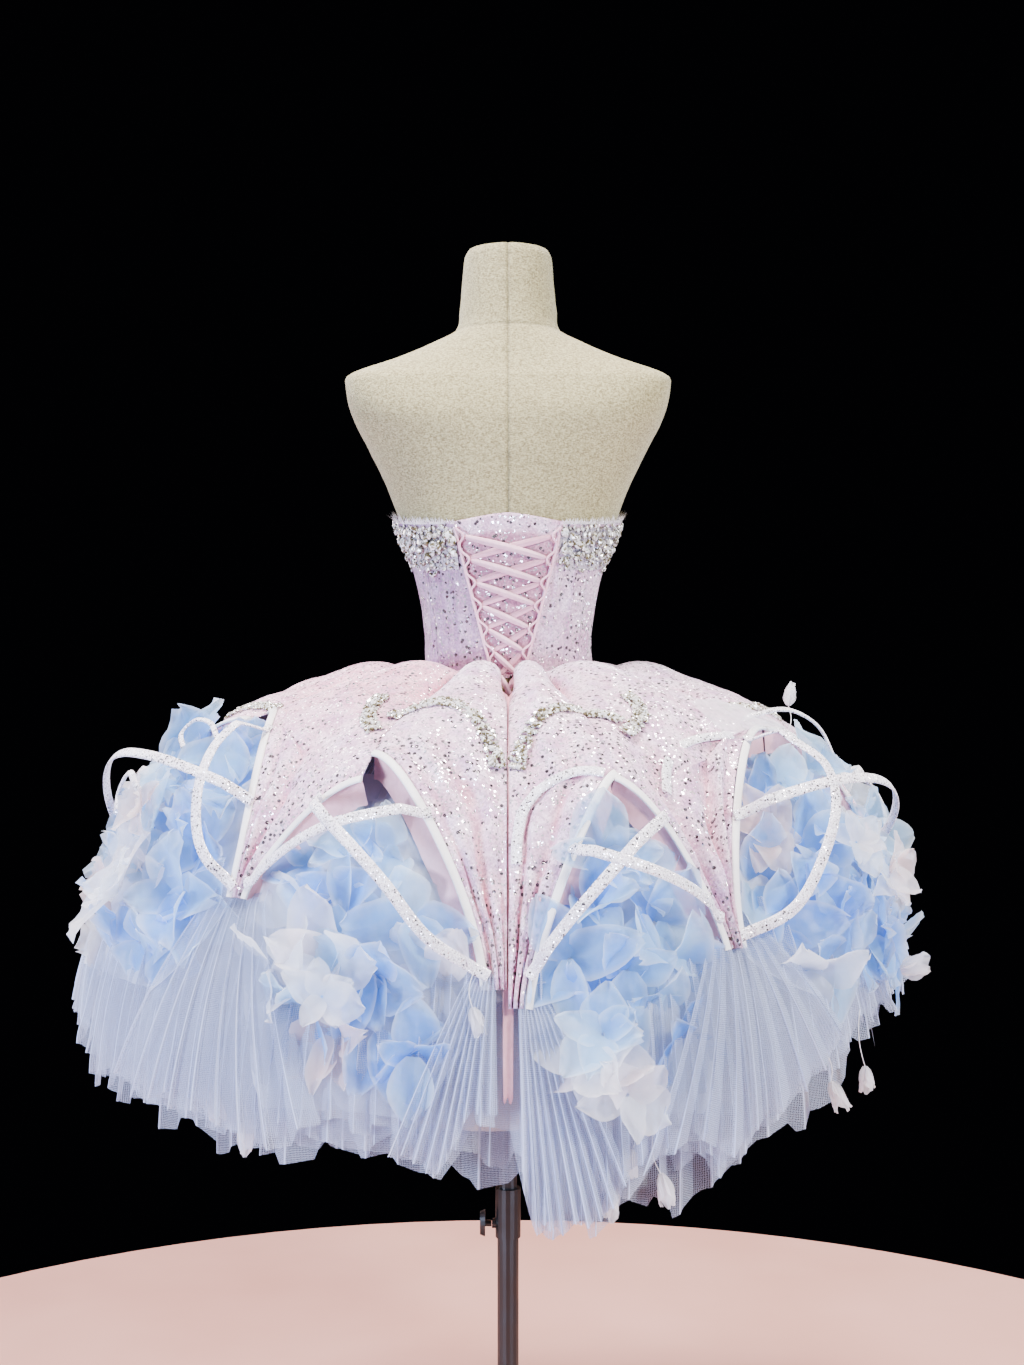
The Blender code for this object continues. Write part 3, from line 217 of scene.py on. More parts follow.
# Flower beds: name, petal before, petal after, lowest run.
FLOWER_BEDS = (
    ("flowers_back_left", 0, 1, 0.655),
    ("flowers_side_back_left", 1, 2, 0.560),
    ("flowers_side_front_left", 2, 3, 0.560),
    ("flowers_front_left", 3, 4, 0.580),
    ("flowers_front_right", 4, 5, 0.580),
    ("flowers_side_front_right", 5, 6, 0.548),
    ("flowers_side_back_right", 6, 7, 0.560),
    ("flowers_back_right", 7, 8, 0.655),
)
# Raw hem of the net: angle, height.
HEM = (
    (0.0, 0.645), (4.0, 0.655), (8.0, 0.607), (14.0, 0.630), (20.0, 0.640), (33.0, 0.617),
    (42.0, 0.642), (51.0, 0.634), (60.0, 0.666), (70.0, 0.692), (80.0, 0.712), (92.0, 0.738),
    (104.0, 0.728), (122.0, 0.690), (142.0, 0.672), (160.0, 0.698), (180.0, 0.676),
    (200.0, 0.700), (220.0, 0.676), (240.0, 0.705), (257.0, 0.752), (272.0, 0.786),
    (281.0, 0.752), (298.0, 0.722), (310.0, 0.708), (316.0, 0.690), (324.0, 0.654),
    (333.0, 0.604), (339.0, 0.630), (346.0, 0.592), (351.0, 0.562), (357.0, 0.550),
    (360.0, 0.645),
)
TAIL = (
    (0.016, 0.0035), (0.045, 0.0045), (0.080, 0.0050), (0.130, 0.0050), (0.190, 0.0048),
    (0.260, 0.0050), (0.340, 0.0050), (0.420, 0.0050), (0.500, 0.0048), (0.580, 0.0045),
    (0.640, 0.0040),
)
SIDE_SWAY, SWAY_RUN = 0.03, 0.35
SLIT_HALF_WIDTH, SLIT_TOP_WIDENING, SLIT_TOP_RUN = 0.0014, 0.0085, 0.125
SEAM_GAP = 0.0004
TIP_HALF_WIDTH = 0.005
BINDING_WIDTH = 0.0085
BAND_WIDTH, BAND_THICK, BAND_RAMP = 0.0115, 0.0026, 0.022
TAU = 2.0 * math.pi
# Lacing as it shows: loops reach into the opening and the ribbon turns in them.
LACE_TOP, LACE_FOOT, LACE_CROSSINGS, LACE_REACH = 1.2385, 1.0560, 7, 0.0065


class Slot(Enum):
    """Material slots of the record."""

    STEEL = "black_satin_steel"
    LINEN = "natural_linen"
    GLITTER = "pink_glitter_fabric"
    CRYSTAL = "crystal_rows"
    RIBBON = "pink_satin_ribbon"
    SLIP = "beige_satin"
    NET = "white_net"
    BINDING = "white_satin_binding"
    BAND = "white_glitter_band"
    FLOWER = "blue_organza_flowers"


class Cut(Enum):
    STRETCHED = "stretched"
    GATHERED = "gathered"
    HUNG = "hung"
    LAID = "laid"


# ---- numbers and surfaces -------------------------------------------------------------------
class Profile:
    """Smooth curve through a table whose first column is the position."""

    def __init__(self, rows: Sequence[Sequence[float]]) -> None:
        """Read the table.

        Args:
            rows: Position, then one or more values, in rising order of position.
        """
        table = np.array(rows, dtype=float)
        self.place, self.value = table[:, 0], table[:, 1:]
        index = np.arange(len(table))
        low, high = np.maximum(index - 1, 0), np.minimum(index + 1, len(table) - 1)
        span = (self.place[high] - self.place[low])[:, None]
        self.slope = (self.value[high] - self.value[low]) / span

    def at(self, place: np.ndarray | float) -> np.ndarray:
        """Values at one or many positions.

        Args:
            place: Position or array of positions, held inside the table.

        Returns:
            Array of the positions' shape with one more axis for the columns.
        """
        x = np.clip(np.asarray(place, dtype=float), self.place[0], self.place[-1])
        k = np.clip(np.searchsorted(self.place, x) - 1, 0, len(self.place) - 2)
        span = (self.place[k + 1] - self.place[k])[..., None]
        t = (x[..., None] - self.place[k][..., None]) / span
        return ((2 * t ** 3 - 3 * t ** 2 + 1) * self.value[k]
                + (t ** 3 - 2 * t ** 2 + t) * span * self.slope[k]
                + (3 * t ** 2 - 2 * t ** 3) * self.value[k + 1]
                + (t ** 3 - t ** 2) * span * self.slope[k + 1])


def with_runs(sections: Sequence[Sequence[float]]) -> list[tuple[float, ...]]:
    """Put the distance down the cloth before each section.

    Args:
        sections: Half width, half depth and height, from the waist down.

    Returns:
        Rows of run, half width, half depth and height.
    """
    rows, run = [], 0.0
    for i, section in enumerate(sections):
        if i:
            before = sections[i - 1]
            run += math.hypot(section[0] - before[0], section[2] - before[2])
        rows.append((run, *section))
    return rows


DOME = Profile(with_runs(DOME_SECTIONS))
NET = Profile(with_runs(NET_SECTIONS))
LINING = Profile(with_runs(LINING_SECTIONS))
FORM = Profile(FORM_SECTIONS)
BODICE = Profile(BODICE_SECTIONS)
TOP_EDGE = Profile(NECKLINE)
PUFFS = Profile(RELIEF)
SEAM_ANGLES = np.array([petal[1] for petal in PETALS] + [360.0])
COLUMN_ANGLES = np.array([0.0] + [petal[3] for petal in PETALS[1:-1]] + [360.0])


def share_between(angle: np.ndarray, marks: np.ndarray) -> np.ndarray:
    """How far an angle lies between the two marks around it, from 0 to 1.

    Args:
        angle: Degrees from the centre back.
        marks: Angles of the marks in rising order.

    Returns:
        Shares in the shape of the angles.
    """
    turned = np.asarray(angle, dtype=float) % 360.0
    k = np.clip(np.searchsorted(marks, turned) - 1, 0, len(marks) - 2)
    return (turned - marks[k]) / (marks[k + 1] - marks[k])


def relief(angle: np.ndarray, run: np.ndarray) -> np.ndarray:
    """Height of the puffs at the waist and of the bulges over the arches, in metres.

    Args:
        angle: Degrees from the centre back.
        run: Metres down the cloth.

    Returns:
        Heights off the turned surface, in metres.
    """
    puff, bulge = np.moveaxis(PUFFS.at(run), -1, 0)
    ridge = np.abs(np.sin(np.pi * share_between(angle, SEAM_ANGLES))) ** 0.7
    swell = np.sin(np.pi * share_between(angle, COLUMN_ANGLES)) ** 2
    return puff * (2.0 * ridge - 1.0) + bulge * (2.0 * swell - 1.0)


def surface(profile: Profile, angle: np.ndarray, run: np.ndarray,
            lift: np.ndarray | float) -> np.ndarray:
    """Points on a turned surface, moved out by lift across its profile.

    Args:
        profile: Half width, depth and height by run.
        angle: Degrees from the centre back.
        run: Metres down the cloth.
        lift: Metres off the surface.

    Returns:
        Points with one more axis than the arguments.
    """
    step = 0.002
    width, depth, height = np.moveaxis(profile.at(run), -1, 0)
    turn = np.radians(angle)
    width = width * (1.0 + SIDE_SWAY * np.sin(turn) * np.clip(run / SWAY_RUN, 0.0, 1.0))
    after, before = profile.at(run + step), profile.at(run - step)
    rise, spread = after[..., 2] - before[..., 2], after[..., 0] - before[..., 0]
    length = np.maximum(np.hypot(rise, spread), 1e-9)
    radius = width * depth / np.sqrt((depth * np.sin(turn)) ** 2 + (width * np.cos(turn)) ** 2)
    grow = radius - rise / length * lift
    return np.stack([grow * np.sin(turn), grow * np.cos(turn),
                     height + spread / length * lift], axis=-1)


def normalise(vectors: np.ndarray) -> np.ndarray:
    """Vectors of length one."""
    return vectors / np.maximum(np.linalg.norm(vectors, axis=-1, keepdims=True), 1e-12)


def skin_normal(angle: np.ndarray, run: np.ndarray) -> np.ndarray:
    """Directions that point straight out of the overskirt.

    Args:
        angle: Degrees from the centre back.
        run: Metres down the cloth.

    Returns:
        Directions of length one.
    """
    turn, step = 0.5, 0.002
    low = np.maximum(run - step, 0.0)
    across = (surface(DOME, angle + turn, run, relief(angle + turn, run))
              - surface(DOME, angle - turn, run, relief(angle - turn, run)))
    down = (surface(DOME, angle, run + step, relief(angle, run + step))
            - surface(DOME, angle, low, relief(angle, low)))
    return normalise(np.cross(across, down))


def skin(angle: np.ndarray, run: np.ndarray, out: np.ndarray | float = 0.0) -> np.ndarray:
    """Points on the overskirt, moved straight out of it.

    Args:
        angle: Degrees from the centre back.
        run: Metres down the cloth.
        out: Metres off the surface.

    Returns:
        Points with one more axis than the arguments.
    """
    angle, run = np.broadcast_arrays(np.asarray(angle, float), np.asarray(run, float))
    point = surface(DOME, angle, run, relief(angle, run))
    return point + skin_normal(angle, run) * np.asarray(out, float)[..., None]


def arc_metres(angle: np.ndarray, run: np.ndarray) -> np.ndarray:
    """Metres round the skirt for one degree."""
    angle, run = np.broadcast_arrays(np.asarray(angle, float), np.asarray(run, float))
    return np.radians(1.0) * np.linalg.norm(surface(DOME, angle, run, 0.0)[..., :2], axis=-1)


def section_point(angle: np.ndarray, width: np.ndarray, back: np.ndarray, front: np.ndarray,
                  squareness: np.ndarray | float = 2.0) -> tuple[np.ndarray, np.ndarray]:
    """Plan place on a squared ellipse whose back and front depths differ.

    Args:
        angle: Degrees from the centre back.
        width: Half width.
        back: Depth to the back.
        front: Depth to the front.
        squareness: 2 for an ellipse, more for squarer corners.

    Returns:
        The x and y places.
    """
    side, fore = np.sin(np.radians(angle)), np.cos(np.radians(angle))
    depth = np.where(fore > 0.0, back, front)
    radius = (np.abs(side / width) ** squareness + np.abs(fore / depth) ** squareness)
    radius = radius ** (-1.0 / squareness)
    return radius * side, radius * fore


def neckline(angle: np.ndarray) -> np.ndarray:
    """Height of the bodice's top edge."""
    return TOP_EDGE.at(np.asarray(angle, float) % 360.0)[..., 0]


def bodice(angle: np.ndarray, level: np.ndarray, out: np.ndarray | float = 0.0) -> np.ndarray:
    """Points on the bodice, level 0 at the waist seam and 1 at the top edge.

    Args:
        angle: Degrees from the centre back.
        level: 0 at the waist seam, 1 at the top edge.
        out: Metres off the surface.

    Returns:
        Points with one more axis than the arguments.
    """
    angle, level = np.broadcast_arrays(np.asarray(angle, float), np.asarray(level, float))
    height = WAIST_HEIGHT + level * (neckline(angle) - WAIST_HEIGHT)
    width, back, front = np.moveaxis(BODICE.at(height), -1, 0)
    x, y = section_point(angle, width + out, back + out, front + out)
    return np.stack([x, y, height], axis=-1)


def opening_half(level: np.ndarray) -> np.ndarray:
    """Half width of the laced opening, in metres."""
    return OPENING_LEAST + (OPENING_TOP - OPENING_LEAST) * np.asarray(level) ** OPENING_CURVE


def opening_angle(level: np.ndarray) -> np.ndarray:
    """Angle of the laced opening's edge from the centre back.

    Args:
        level: 0 at the waist seam, 1 at the top edge.

    Returns:
        Angles in degrees.
    """
    height = WAIST_HEIGHT + np.asarray(level) * (neckline(0.0) - WAIST_HEIGHT)
    width, back, _ = np.moveaxis(BODICE.at(height), -1, 0)
    half = opening_half(level)
    return np.degrees(np.arctan2(half, back * np.cos(np.arcsin(half / width))))


def back_point(sideways: np.ndarray, height: np.ndarray, out: np.ndarray | float) -> np.ndarray:
    """Points over the bodice's back, by metres from the centre back.

    Args:
        sideways: Metres from the centre back.
        height: Metres above the floor.
        out: Metres off the surface.

    Returns:
        Points with one more axis than the arguments.
    """
    width, back, _ = np.moveaxis(BODICE.at(height), -1, 0)
    angle = np.degrees(np.arctan2(sideways, back * np.cos(np.arcsin(
        np.clip(sideways / width, -0.99, 0.99)))))
    level = (np.asarray(height) - WAIST_HEIGHT) / (neckline(0.0) - WAIST_HEIGHT)
    width, back, front = (BODICE.at(height)[..., i] for i in range(3))
    x, y = section_point(angle, width + out, back + out, front + out)
    return np.stack([x, y, np.broadcast_to(height, np.shape(level))], axis=-1)


def waves(u: np.ndarray, v: np.ndarray, seed: int, octaves: int = 4) -> np.ndarray:
    """Smooth seeded unevenness between about -1 and 1.

    Args:
        u: First coordinate, one wave to a unit.
        v: Second coordinate.
        seed: Seed of the directions and phases.
        octaves: How many ever finer waves are added.

    Returns:
        Array of the coordinates' shape.
    """
    random = np.random.default_rng(seed)
    total, weight = 0.0, 0.0
    for octave in range(octaves):
        for _ in range(3):
            heading, phase = random.uniform(0.0, TAU, 2)
            pitch = 1.7 ** octave * random.uniform(0.8, 1.25)
            size = 0.62 ** octave
            total = total + size * np.sin(TAU * pitch * (u * np.cos(heading)
                                                         + v * np.sin(heading)) + phase)
            weight += size * 0.6
    return total / weight


def ease(x: np.ndarray, low: float, high: float) -> np.ndarray:
    """Smooth step from 0 at low to 1 at high."""
    t = np.clip((np.asarray(x, float) - low) / (high - low), 0.0, 1.0)
    return t * t * (3.0 - 2.0 * t)


def smooth_path(controls: Sequence[Sequence[float]], samples: int) -> np.ndarray:
    """Places along a smooth curve through control places."""
    table = [(float(i), *control) for i, control in enumerate(controls)]
    return Profile(table).at(np.linspace(0.0, len(controls) - 1.0, samples + 1))


def tangents(path: np.ndarray) -> np.ndarray:
    """Direction along a path at each of its points."""
    return normalise(np.gradient(path, axis=0))


def moved_aside(path: np.ndarray, sideways: float) -> np.ndarray:
    """A path of (angle, run) places moved sideways in the skirt's surface, by metres.

    Args:
        path: Rows of (angle, run).
        sideways: Metres to move.

    Returns:
        The moved rows.
    """
    metres = arc_metres(path[:, 0], path[:, 1])
    step = np.gradient(path, axis=0)
    along = normalise(np.stack([step[:, 0] * metres, step[:, 1]], axis=-1))
    return np.stack([path[:, 0] + along[:, 1] * sideways / metres,
                     path[:, 1] - along[:, 0] * sideways], axis=-1)


# ---- meshes ---------------------------------------------------------------------------------
class MeshBuffer:
    """Gathers grids and loose faces, then makes one object of them."""

    def __init__(self) -> None:
        """Start empty."""
        self.points: list[np.ndarray] = []
        self.uvs: list[np.ndarray] = []
        self.tints: list[np.ndarray] = []
        self.faces: list[list[int]] = []
        self.count = 0

    def _add(self, points: np.ndarray, uv: np.ndarray | None,
             tint: np.ndarray | Sequence[float]) -> int:
        """Store points and return the index of the first.

        Args:
            points: Array that ends in xyz.
            uv: Place on the flat cloth in metres, or None.
            tint: One colour or a colour for each point.

        Returns:
            Index of the first stored point.
        """
        flat = points.reshape(-1, 3)
        start = self.count
        self.points.append(flat)
        self.uvs.append(flat[:, :2] if uv is None else uv.reshape(-1, 2))
        self.tints.append(np.broadcast_to(np.asarray(tint, float), (*points.shape[:-1], 3))
                          .reshape(-1, 3))
        self.count += len(flat)
        return start

    def grid(self, points: np.ndarray, uv: np.ndarray | None = None,
             tint: np.ndarray | Sequence[float] = (1.0, 1.0, 1.0), ring: bool = False,
             caps: bool = False) -> None:
        """Add a grid of points as faces.

        Args:
            points: Array of rows, columns and xyz.
            uv: Place on the flat cloth in metres, or None.
            tint: One colour or a colour for each point.
            ring: Join the last column to the first.
            caps: Close the first and last row of a ring.
        """
        rows, columns = points.shape[:2]
        start = self._add(points, uv, tint)
        index = start + np.arange(rows * columns).reshape(rows, columns)
        here = index if ring else index[:, :-1]
        there = np.roll(index, -1, axis=1) if ring else index[:, 1:]
        quads = np.stack([here[:-1], here[1:], there[1:], there[:-1]], axis=-1).reshape(-1, 4)
        self.faces.extend(quads.tolist())
        if caps:
            self.faces.append(index[0].tolist())
            self.faces.append(index[-1][::-1].tolist())

    def solid(self, points: np.ndarray, faces: Sequence[Sequence[int]],
              tint: Sequence[float] = (1.0, 1.0, 1.0)) -> None:
        """Add loose points and faces, such as a crystal."""
        start = self._add(points, None, tint)
        self.faces.extend([[start + i for i in face] for face in faces])

    def build(self, name: str, material: bpy.types.Material, thickness: float = 0.0,
              crease: float = 50.0) -> bpy.types.Object:
        """Make the object.

        Args:
            name: Name of the piece.
            material: Its finish.
            thickness: Wall of the cloth in metres, or 0 for none.
            crease: Edges sharper than this many degrees stay sharp.

        Returns:
            The new object, linked to the scene.
        """
        mesh = bpy.data.meshes.new(name)
        points = np.concatenate(self.points)
        mesh.from_pydata(points.tolist(), [], self.faces)
        corners = np.empty(len(mesh.loops), dtype=np.int64)
        mesh.loops.foreach_get("vertex_index", corners)
        layer = mesh.uv_layers.new(name="flat_cloth")
        layer.data.foreach_set("uv", np.concatenate(self.uvs)[corners].astype(np.float32)
                               .ravel())
        tint = mesh.color_attributes.new("tint", "FLOAT_COLOR", "POINT")
        colours = np.concatenate([np.concatenate(self.tints), np.ones((len(points), 1))],
                                 axis=1)
        tint.data.foreach_set("color", colours.astype(np.float32).ravel())
        mesh.materials.append(material)
        mesh.shade_smooth()
        mesh.set_sharp_from_angle(angle=math.radians(crease))
        piece = bpy.data.objects.new(name, mesh)
        bpy.context.collection.objects.link(piece)
        if thickness > 0.0:
            wall = piece.modifiers.new("cloth_wall", "SOLIDIFY")
            wall.thickness = thickness
            wall.offset = -1.0
            wall.use_even_offset = False
        return piece


def sweep(path: np.ndarray, normals: np.ndarray, section: np.ndarray,
          widths: np.ndarray | float = 1.0) -> np.ndarray:
    """Rings of a closed section carried along a path.

    Args:
        path: Points along the middle.
        normals: Direction of the section's second axis at each point.
        section: Closed outline as (sideways, out) pairs in metres.
        widths: Factor of the sideways part at each point.

    Returns:
        Array of path points, section points and xyz.
    """
    along = tangents(path)
    out = normalise(normals - along * np.sum(normals * along, axis=-1, keepdims=True))
    side = np.cross(along, out)
    wide = np.broadcast_to(np.asarray(widths, float), (len(path),))
    return (path[:, None] + side[:, None] * (section[None, :, :1] * wide[:, None, None])
            + out[:, None] * section[None, :, 1:])


def round_section(width: float, height: float, low: float = 0.0, count: int = 10) -> np.ndarray:
    """Outline of a padded strip, flat below and rounded above.

    Args:
        width: Metres across.
        height: Metres thick.
        low: Height of its underside.
        count: Corners of the outline.

    Returns:
        Rows of (across, up).
    """
    turn = np.linspace(0.0, TAU, count, endpoint=False)
    across = np.sign(np.cos(turn)) * np.abs(np.cos(turn)) ** 0.6
    up = np.sign(np.sin(turn)) * np.abs(np.sin(turn)) ** 0.8
    return np.stack([width / 2 * across, low + height / 2 * (1.0 + up)], axis=-1)


def wire_section(radius: float, count: int = 8) -> np.ndarray:
    """Outline of a round cord or wire."""
    turn = np.linspace(0.0, TAU, count, endpoint=False)
    return np.stack([radius * np.cos(turn), radius * np.sin(turn)], axis=-1)


def place(piece: bpy.types.Object, slot: Slot, nodes: Sequence[str] = ()) -> bpy.types.Object:
    """Let a piece ride with the dress and hide the solids it stands for.

    Args:
        piece: The new piece.
        slot: Slot that it fills; not used.
        nodes: Solids that it stands for.

    Returns:
        The same piece.
    """
    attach(piece, DRESSED)
    if nodes:
        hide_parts(*nodes)
    return piece


# ---- materials ------------------------------------------------------------------------------
def srgb(code: str) -> tuple[float, float, float, float]:
    """Linear colour with alpha 1 from an sRGB code such as "d8c8c0".

    Args:
        code: Six hexadecimal digits.

    Returns:
        Red, green, blue and alpha.
    """
    parts = [int(code[i:i + 2], 16) / 255.0 for i in (0, 2, 4)]
    linear = [p / 12.92 if p <= 0.04045 else ((p + 0.055) / 1.055) ** 2.4 for p in parts]
    return linear[0], linear[1], linear[2], 1.0


class Pen:
    """Draws the node tree of one material."""

    def __init__(self, name: str) -> None:
        """Start a material with its Principled shader."""
        self.material = bpy.data.materials.new(name)
        self.material.use_nodes = True
        self.tree = self.material.node_tree
        self.shader = self.tree.nodes["Principled BSDF"]
        self.output = self.tree.nodes["Material Output"]

    def node(self, kind: str, settings: dict | None = None,
             **inputs: object) -> bpy.types.Node:
        """Add a node, set its options and join or set its inputs.

        Args:
            kind: Blender's node type.
            settings: Options of the node.
            **inputs: Input name with spaces as underscores, or i0, i1 for a place in the list;
                the value is a socket to join or a plain value.

        Returns:
            The new node.
        """
        node = self.tree.nodes.new(kind)
        for key, value in (settings or {}).items():
            setattr(node, key, value)
        for key, value in inputs.items():
            slot = int(key[1:]) if key[0] == "i" and key[1:].isdigit() else key.replace("_", " ")
            self.join(node.inputs[slot], value)
        return node

    def join(self, socket: bpy.types.NodeSocket, value: object) -> None:
        """Link a socket to another, or set its plain value.

        Args:
            socket: The input.
            value: A socket to link or a plain value.
        """
        if isinstance(value, bpy.types.NodeSocket):
            self.tree.links.new(value, socket)
        else:
            socket.default_value = value

    def shade(self, **inputs: object) -> None:
        """Join or set inputs of the Principled shader."""
        for key, value in inputs.items():
            self.join(self.shader.inputs[key.replace("_", " ")], value)

    def object_place(self) -> bpy.types.NodeSocket:
        """Coordinates in metres on the piece."""
        return self.node("ShaderNodeTexCoord").outputs["Object"]

    def flat_place(self) -> bpy.types.NodeSocket:
        """Coordinates in metres on the flat cloth."""
        return self.node("ShaderNodeUVMap", {"uv_map": "flat_cloth"}).outputs["UV"]

    def tint(self) -> bpy.types.NodeSocket:
        """The piece's own colour at each point."""
        return self.node("ShaderNodeAttribute", {"attribute_name": "tint"}).outputs["Color"]

    def noise(self, place: bpy.types.NodeSocket, size: float,
              detail: float = 2.0) -> bpy.types.NodeSocket:
        """Noise whose spots are about size metres wide."""
        return self.node("ShaderNodeTexNoise", Vector=place, Scale=1.0 / size,
                         Detail=detail).outputs["Fac"]

    def grains(self, place: bpy.types.NodeSocket, size: float) -> bpy.types.Node:
        """Cells about size metres wide, one random colour each."""
        return self.node("ShaderNodeTexVoronoi", Vector=place, Scale=1.0 / size)

    def math(self, operation: str, first: object, second: object = 0.0) -> bpy.types.NodeSocket:
        """Result of a sum on one or two values."""
        return self.node("ShaderNodeMath", {"operation": operation}, i0=first,
                         i1=second).outputs[0]

    def ramp(self, value: object, low: float, high: float, start: float = 0.0,
             end: float = 1.0) -> bpy.types.NodeSocket:
        """Value mapped from low..high to start..end and held there."""
        return self.node("ShaderNodeMapRange", i0=value, i1=low, i2=high, i3=start,
                         i4=end).outputs[0]

    def mix(self, share: object, first: object, second: object,
            blend: str = "MIX") -> bpy.types.NodeSocket:
        """Mix of two colours.

        Args:
            share: How much of the second.
            first: First colour.
            second: Second colour.
            blend: Way of mixing.

        Returns:
            The socket that carries the result.
        """
        node = self.node("ShaderNodeMix", {"data_type": "RGBA", "blend_type": blend})
        self.join(node.inputs["Factor"], share)
        self.join(node.inputs[6], first)
        self.join(node.inputs[7], second)
        return node.outputs[2]

    def bump(self, height: bpy.types.NodeSocket, depth: float,
             normal: object = None) -> bpy.types.NodeSocket:
        """Surface relief of a depth in metres.

        Args:
            height: Socket of the relief.
            depth: Metres.
            normal: Relief below this one, or None.

        Returns:
            The socket that carries the result.
        """
        node = self.node("ShaderNodeBump", Height=height, Distance=depth, Strength=1.0)
        if normal is not None:
            self.join(node.inputs["Normal"], normal)
        return node.outputs["Normal"]

    def weave(self, place: bpy.types.NodeSocket, pitch: float) -> bpy.types.NodeSocket:
        """Height of crossing threads at a pitch in metres.

        Args:
            place: Coordinates.
            pitch: Metres from thread to thread.

        Returns:
            The socket that carries the result.
        """
        scale = TAU / pitch / 20.0
        threads = [self.node("ShaderNodeTexWave", {"bands_direction": way}, Vector=place,
                             Scale=scale, Distortion=0.6, Detail=1.0).outputs["Fac"]
                   for way in ("X", "Y")]
        return self.math("MULTIPLY", threads[0], threads[1])


@dataclass(frozen=True)
class Linen:
    """Coarse plain-weave linen of the form: dull, slubbed, slightly warm."""

    light: str = "bdb384"
    dark: str = "7c704a"
    thread: float = 0.0014

    def make(self) -> bpy.types.Material:
        """Weave as relief, slubs as colour.

        Returns:
            The material.
        """
        pen = Pen("natural_linen_cover")
        place = pen.object_place()
        stretch = pen.node("ShaderNodeMapping", Vector=place)
        stretch.inputs["Scale"].default_value = (1.0, 1.0, 6.0)
        slubs = pen.noise(stretch.outputs[0], 0.004, 3.0)
        spots = pen.noise(place, 0.0022, 4.0)
        both = pen.math("ADD", pen.math("MULTIPLY", slubs, 0.5),
                        pen.math("MULTIPLY", spots, 0.5))
        colour = pen.mix(pen.ramp(both, 0.40, 0.60), srgb(self.dark), srgb(self.light))
        colour = pen.mix(1.0, colour, pen.tint(), "MULTIPLY")
        threads = pen.weave(pen.flat_place(), self.thread)
        rough = pen.bump(spots, 0.0008, pen.bump(threads, 0.0004))
        pen.shade(Base_Color=colour, Roughness=0.9, IOR=1.46, Sheen_Weight=0.2,
                  Sheen_Roughness=0.5, Normal=rough)
        return pen.material


@dataclass(frozen=True)
class SatinPaint:
    """Black satin powder coat over steel: soft highlights, a fine orange-peel relief."""

    colour: str = "0b0b0d"
    grain: float = 0.0009

    def make(self) -> bpy.types.Material:
        """Near-black paint with small roughness changes.

        Returns:
            The material.
        """
        pen = Pen("black_powder_coat")
        place = pen.object_place()
        wear = pen.noise(place, 0.03, 3.0)
        pen.shade(Base_Color=pen.mix(wear, srgb(self.colour), srgb("141416")),
                  Roughness=pen.ramp(wear, 0.3, 0.7, 0.30, 0.42), IOR=1.5,
                  Normal=pen.bump(pen.noise(place, self.grain), 0.00003))
        return pen.material


@dataclass(frozen=True)
class GlitterCloth:
    """Glitter tulle over satin: pale pink ground, white sparks, scattered dark flecks."""

    name: str
    ground: str
    shade: str
    spark: float = 0.0019
    fleck: float = 0.0050
    flecks: float = 0.46

    def make(self) -> bpy.types.Material:
        """Cells become sparks and flecks; flecks gather where a slow noise is high.

        Returns:
            The material.
        """
        pen = Pen(self.name)
        place = pen.object_place()
        tone = pen.mix(pen.ramp(pen.noise(place, 0.02, 3.0), 0.36, 0.64), srgb(self.ground),
                       srgb(self.shade))
        tone = pen.mix(1.0, tone, pen.tint(), "MULTIPLY")
        cells = pen.grains(place, self.spark)
        value = pen.node("ShaderNodeSeparateColor", i0=cells.outputs["Color"])
        grain = pen.node("ShaderNodeCombineColor", i0=pen.ramp(value.outputs[1], 0.0, 1.0,
                                                               0.62, 1.14),
                         i1=pen.ramp(value.outputs[1], 0.0, 1.0, 0.54, 1.14),
                         i2=pen.ramp(value.outputs[1], 0.0, 1.0, 0.62, 1.14))
        tone = pen.mix(1.0, tone, grain.outputs[0], "MULTIPLY")
        sparks = pen.math("GREATER_THAN", value.outputs[0], 0.88)
        big = pen.grains(place, self.fleck)
        big_value = pen.node("ShaderNodeSeparateColor", i0=big.outputs["Color"])
        crowd = pen.ramp(pen.noise(place, 0.05, 2.0), 0.36, 0.64)
        limit = pen.ramp(crowd, 0.0, 1.0, 0.94, self.flecks)
        dark = pen.math("GREATER_THAN", big_value.outputs[1], limit)
        small = pen.math("LESS_THAN", big.outputs["Distance"], 0.40)
        dark = pen.math("MULTIPLY", dark, small)
        colour = pen.mix(sparks, tone, srgb("fffafd"))
        colour = pen.mix(dark, colour, pen.mix(value.outputs[2], srgb("3c3338"),
                                               srgb("8d8288")))
        shine = pen.math("MAXIMUM", sparks, dark)
        facing = pen.node("ShaderNodeNewGeometry").outputs["Normal"]
        tilt = pen.node("ShaderNodeVectorMath", {"operation": "SUBTRACT"},
                        i0=cells.outputs["Color"], i1=(0.5, 0.5, 0.5))
        scaled = pen.node("ShaderNodeVectorMath", {"operation": "SCALE"}, i0=tilt.outputs[0])
        pen.join(scaled.inputs["Scale"], pen.math("MULTIPLY", shine, 1.1))
        turned = pen.node("ShaderNodeVectorMath", {"operation": "ADD"}, i0=facing,
                          i1=scaled.outputs[0])
        normal = pen.node("ShaderNodeVectorMath", {"operation": "NORMALIZE"},
                          i0=turned.outputs[0]).outputs[0]
        pen.shade(Base_Color=colour, Roughness=pen.ramp(shine, 0.0, 1.0, 0.62, 0.16),
                  Metallic=pen.math("MULTIPLY", shine, 0.7), IOR=1.5, Sheen_Weight=0.25,
                  Sheen_Roughness=0.35,
                  Normal=pen.bump(pen.noise(place, 0.0011), 0.00025, normal))
        return pen.material


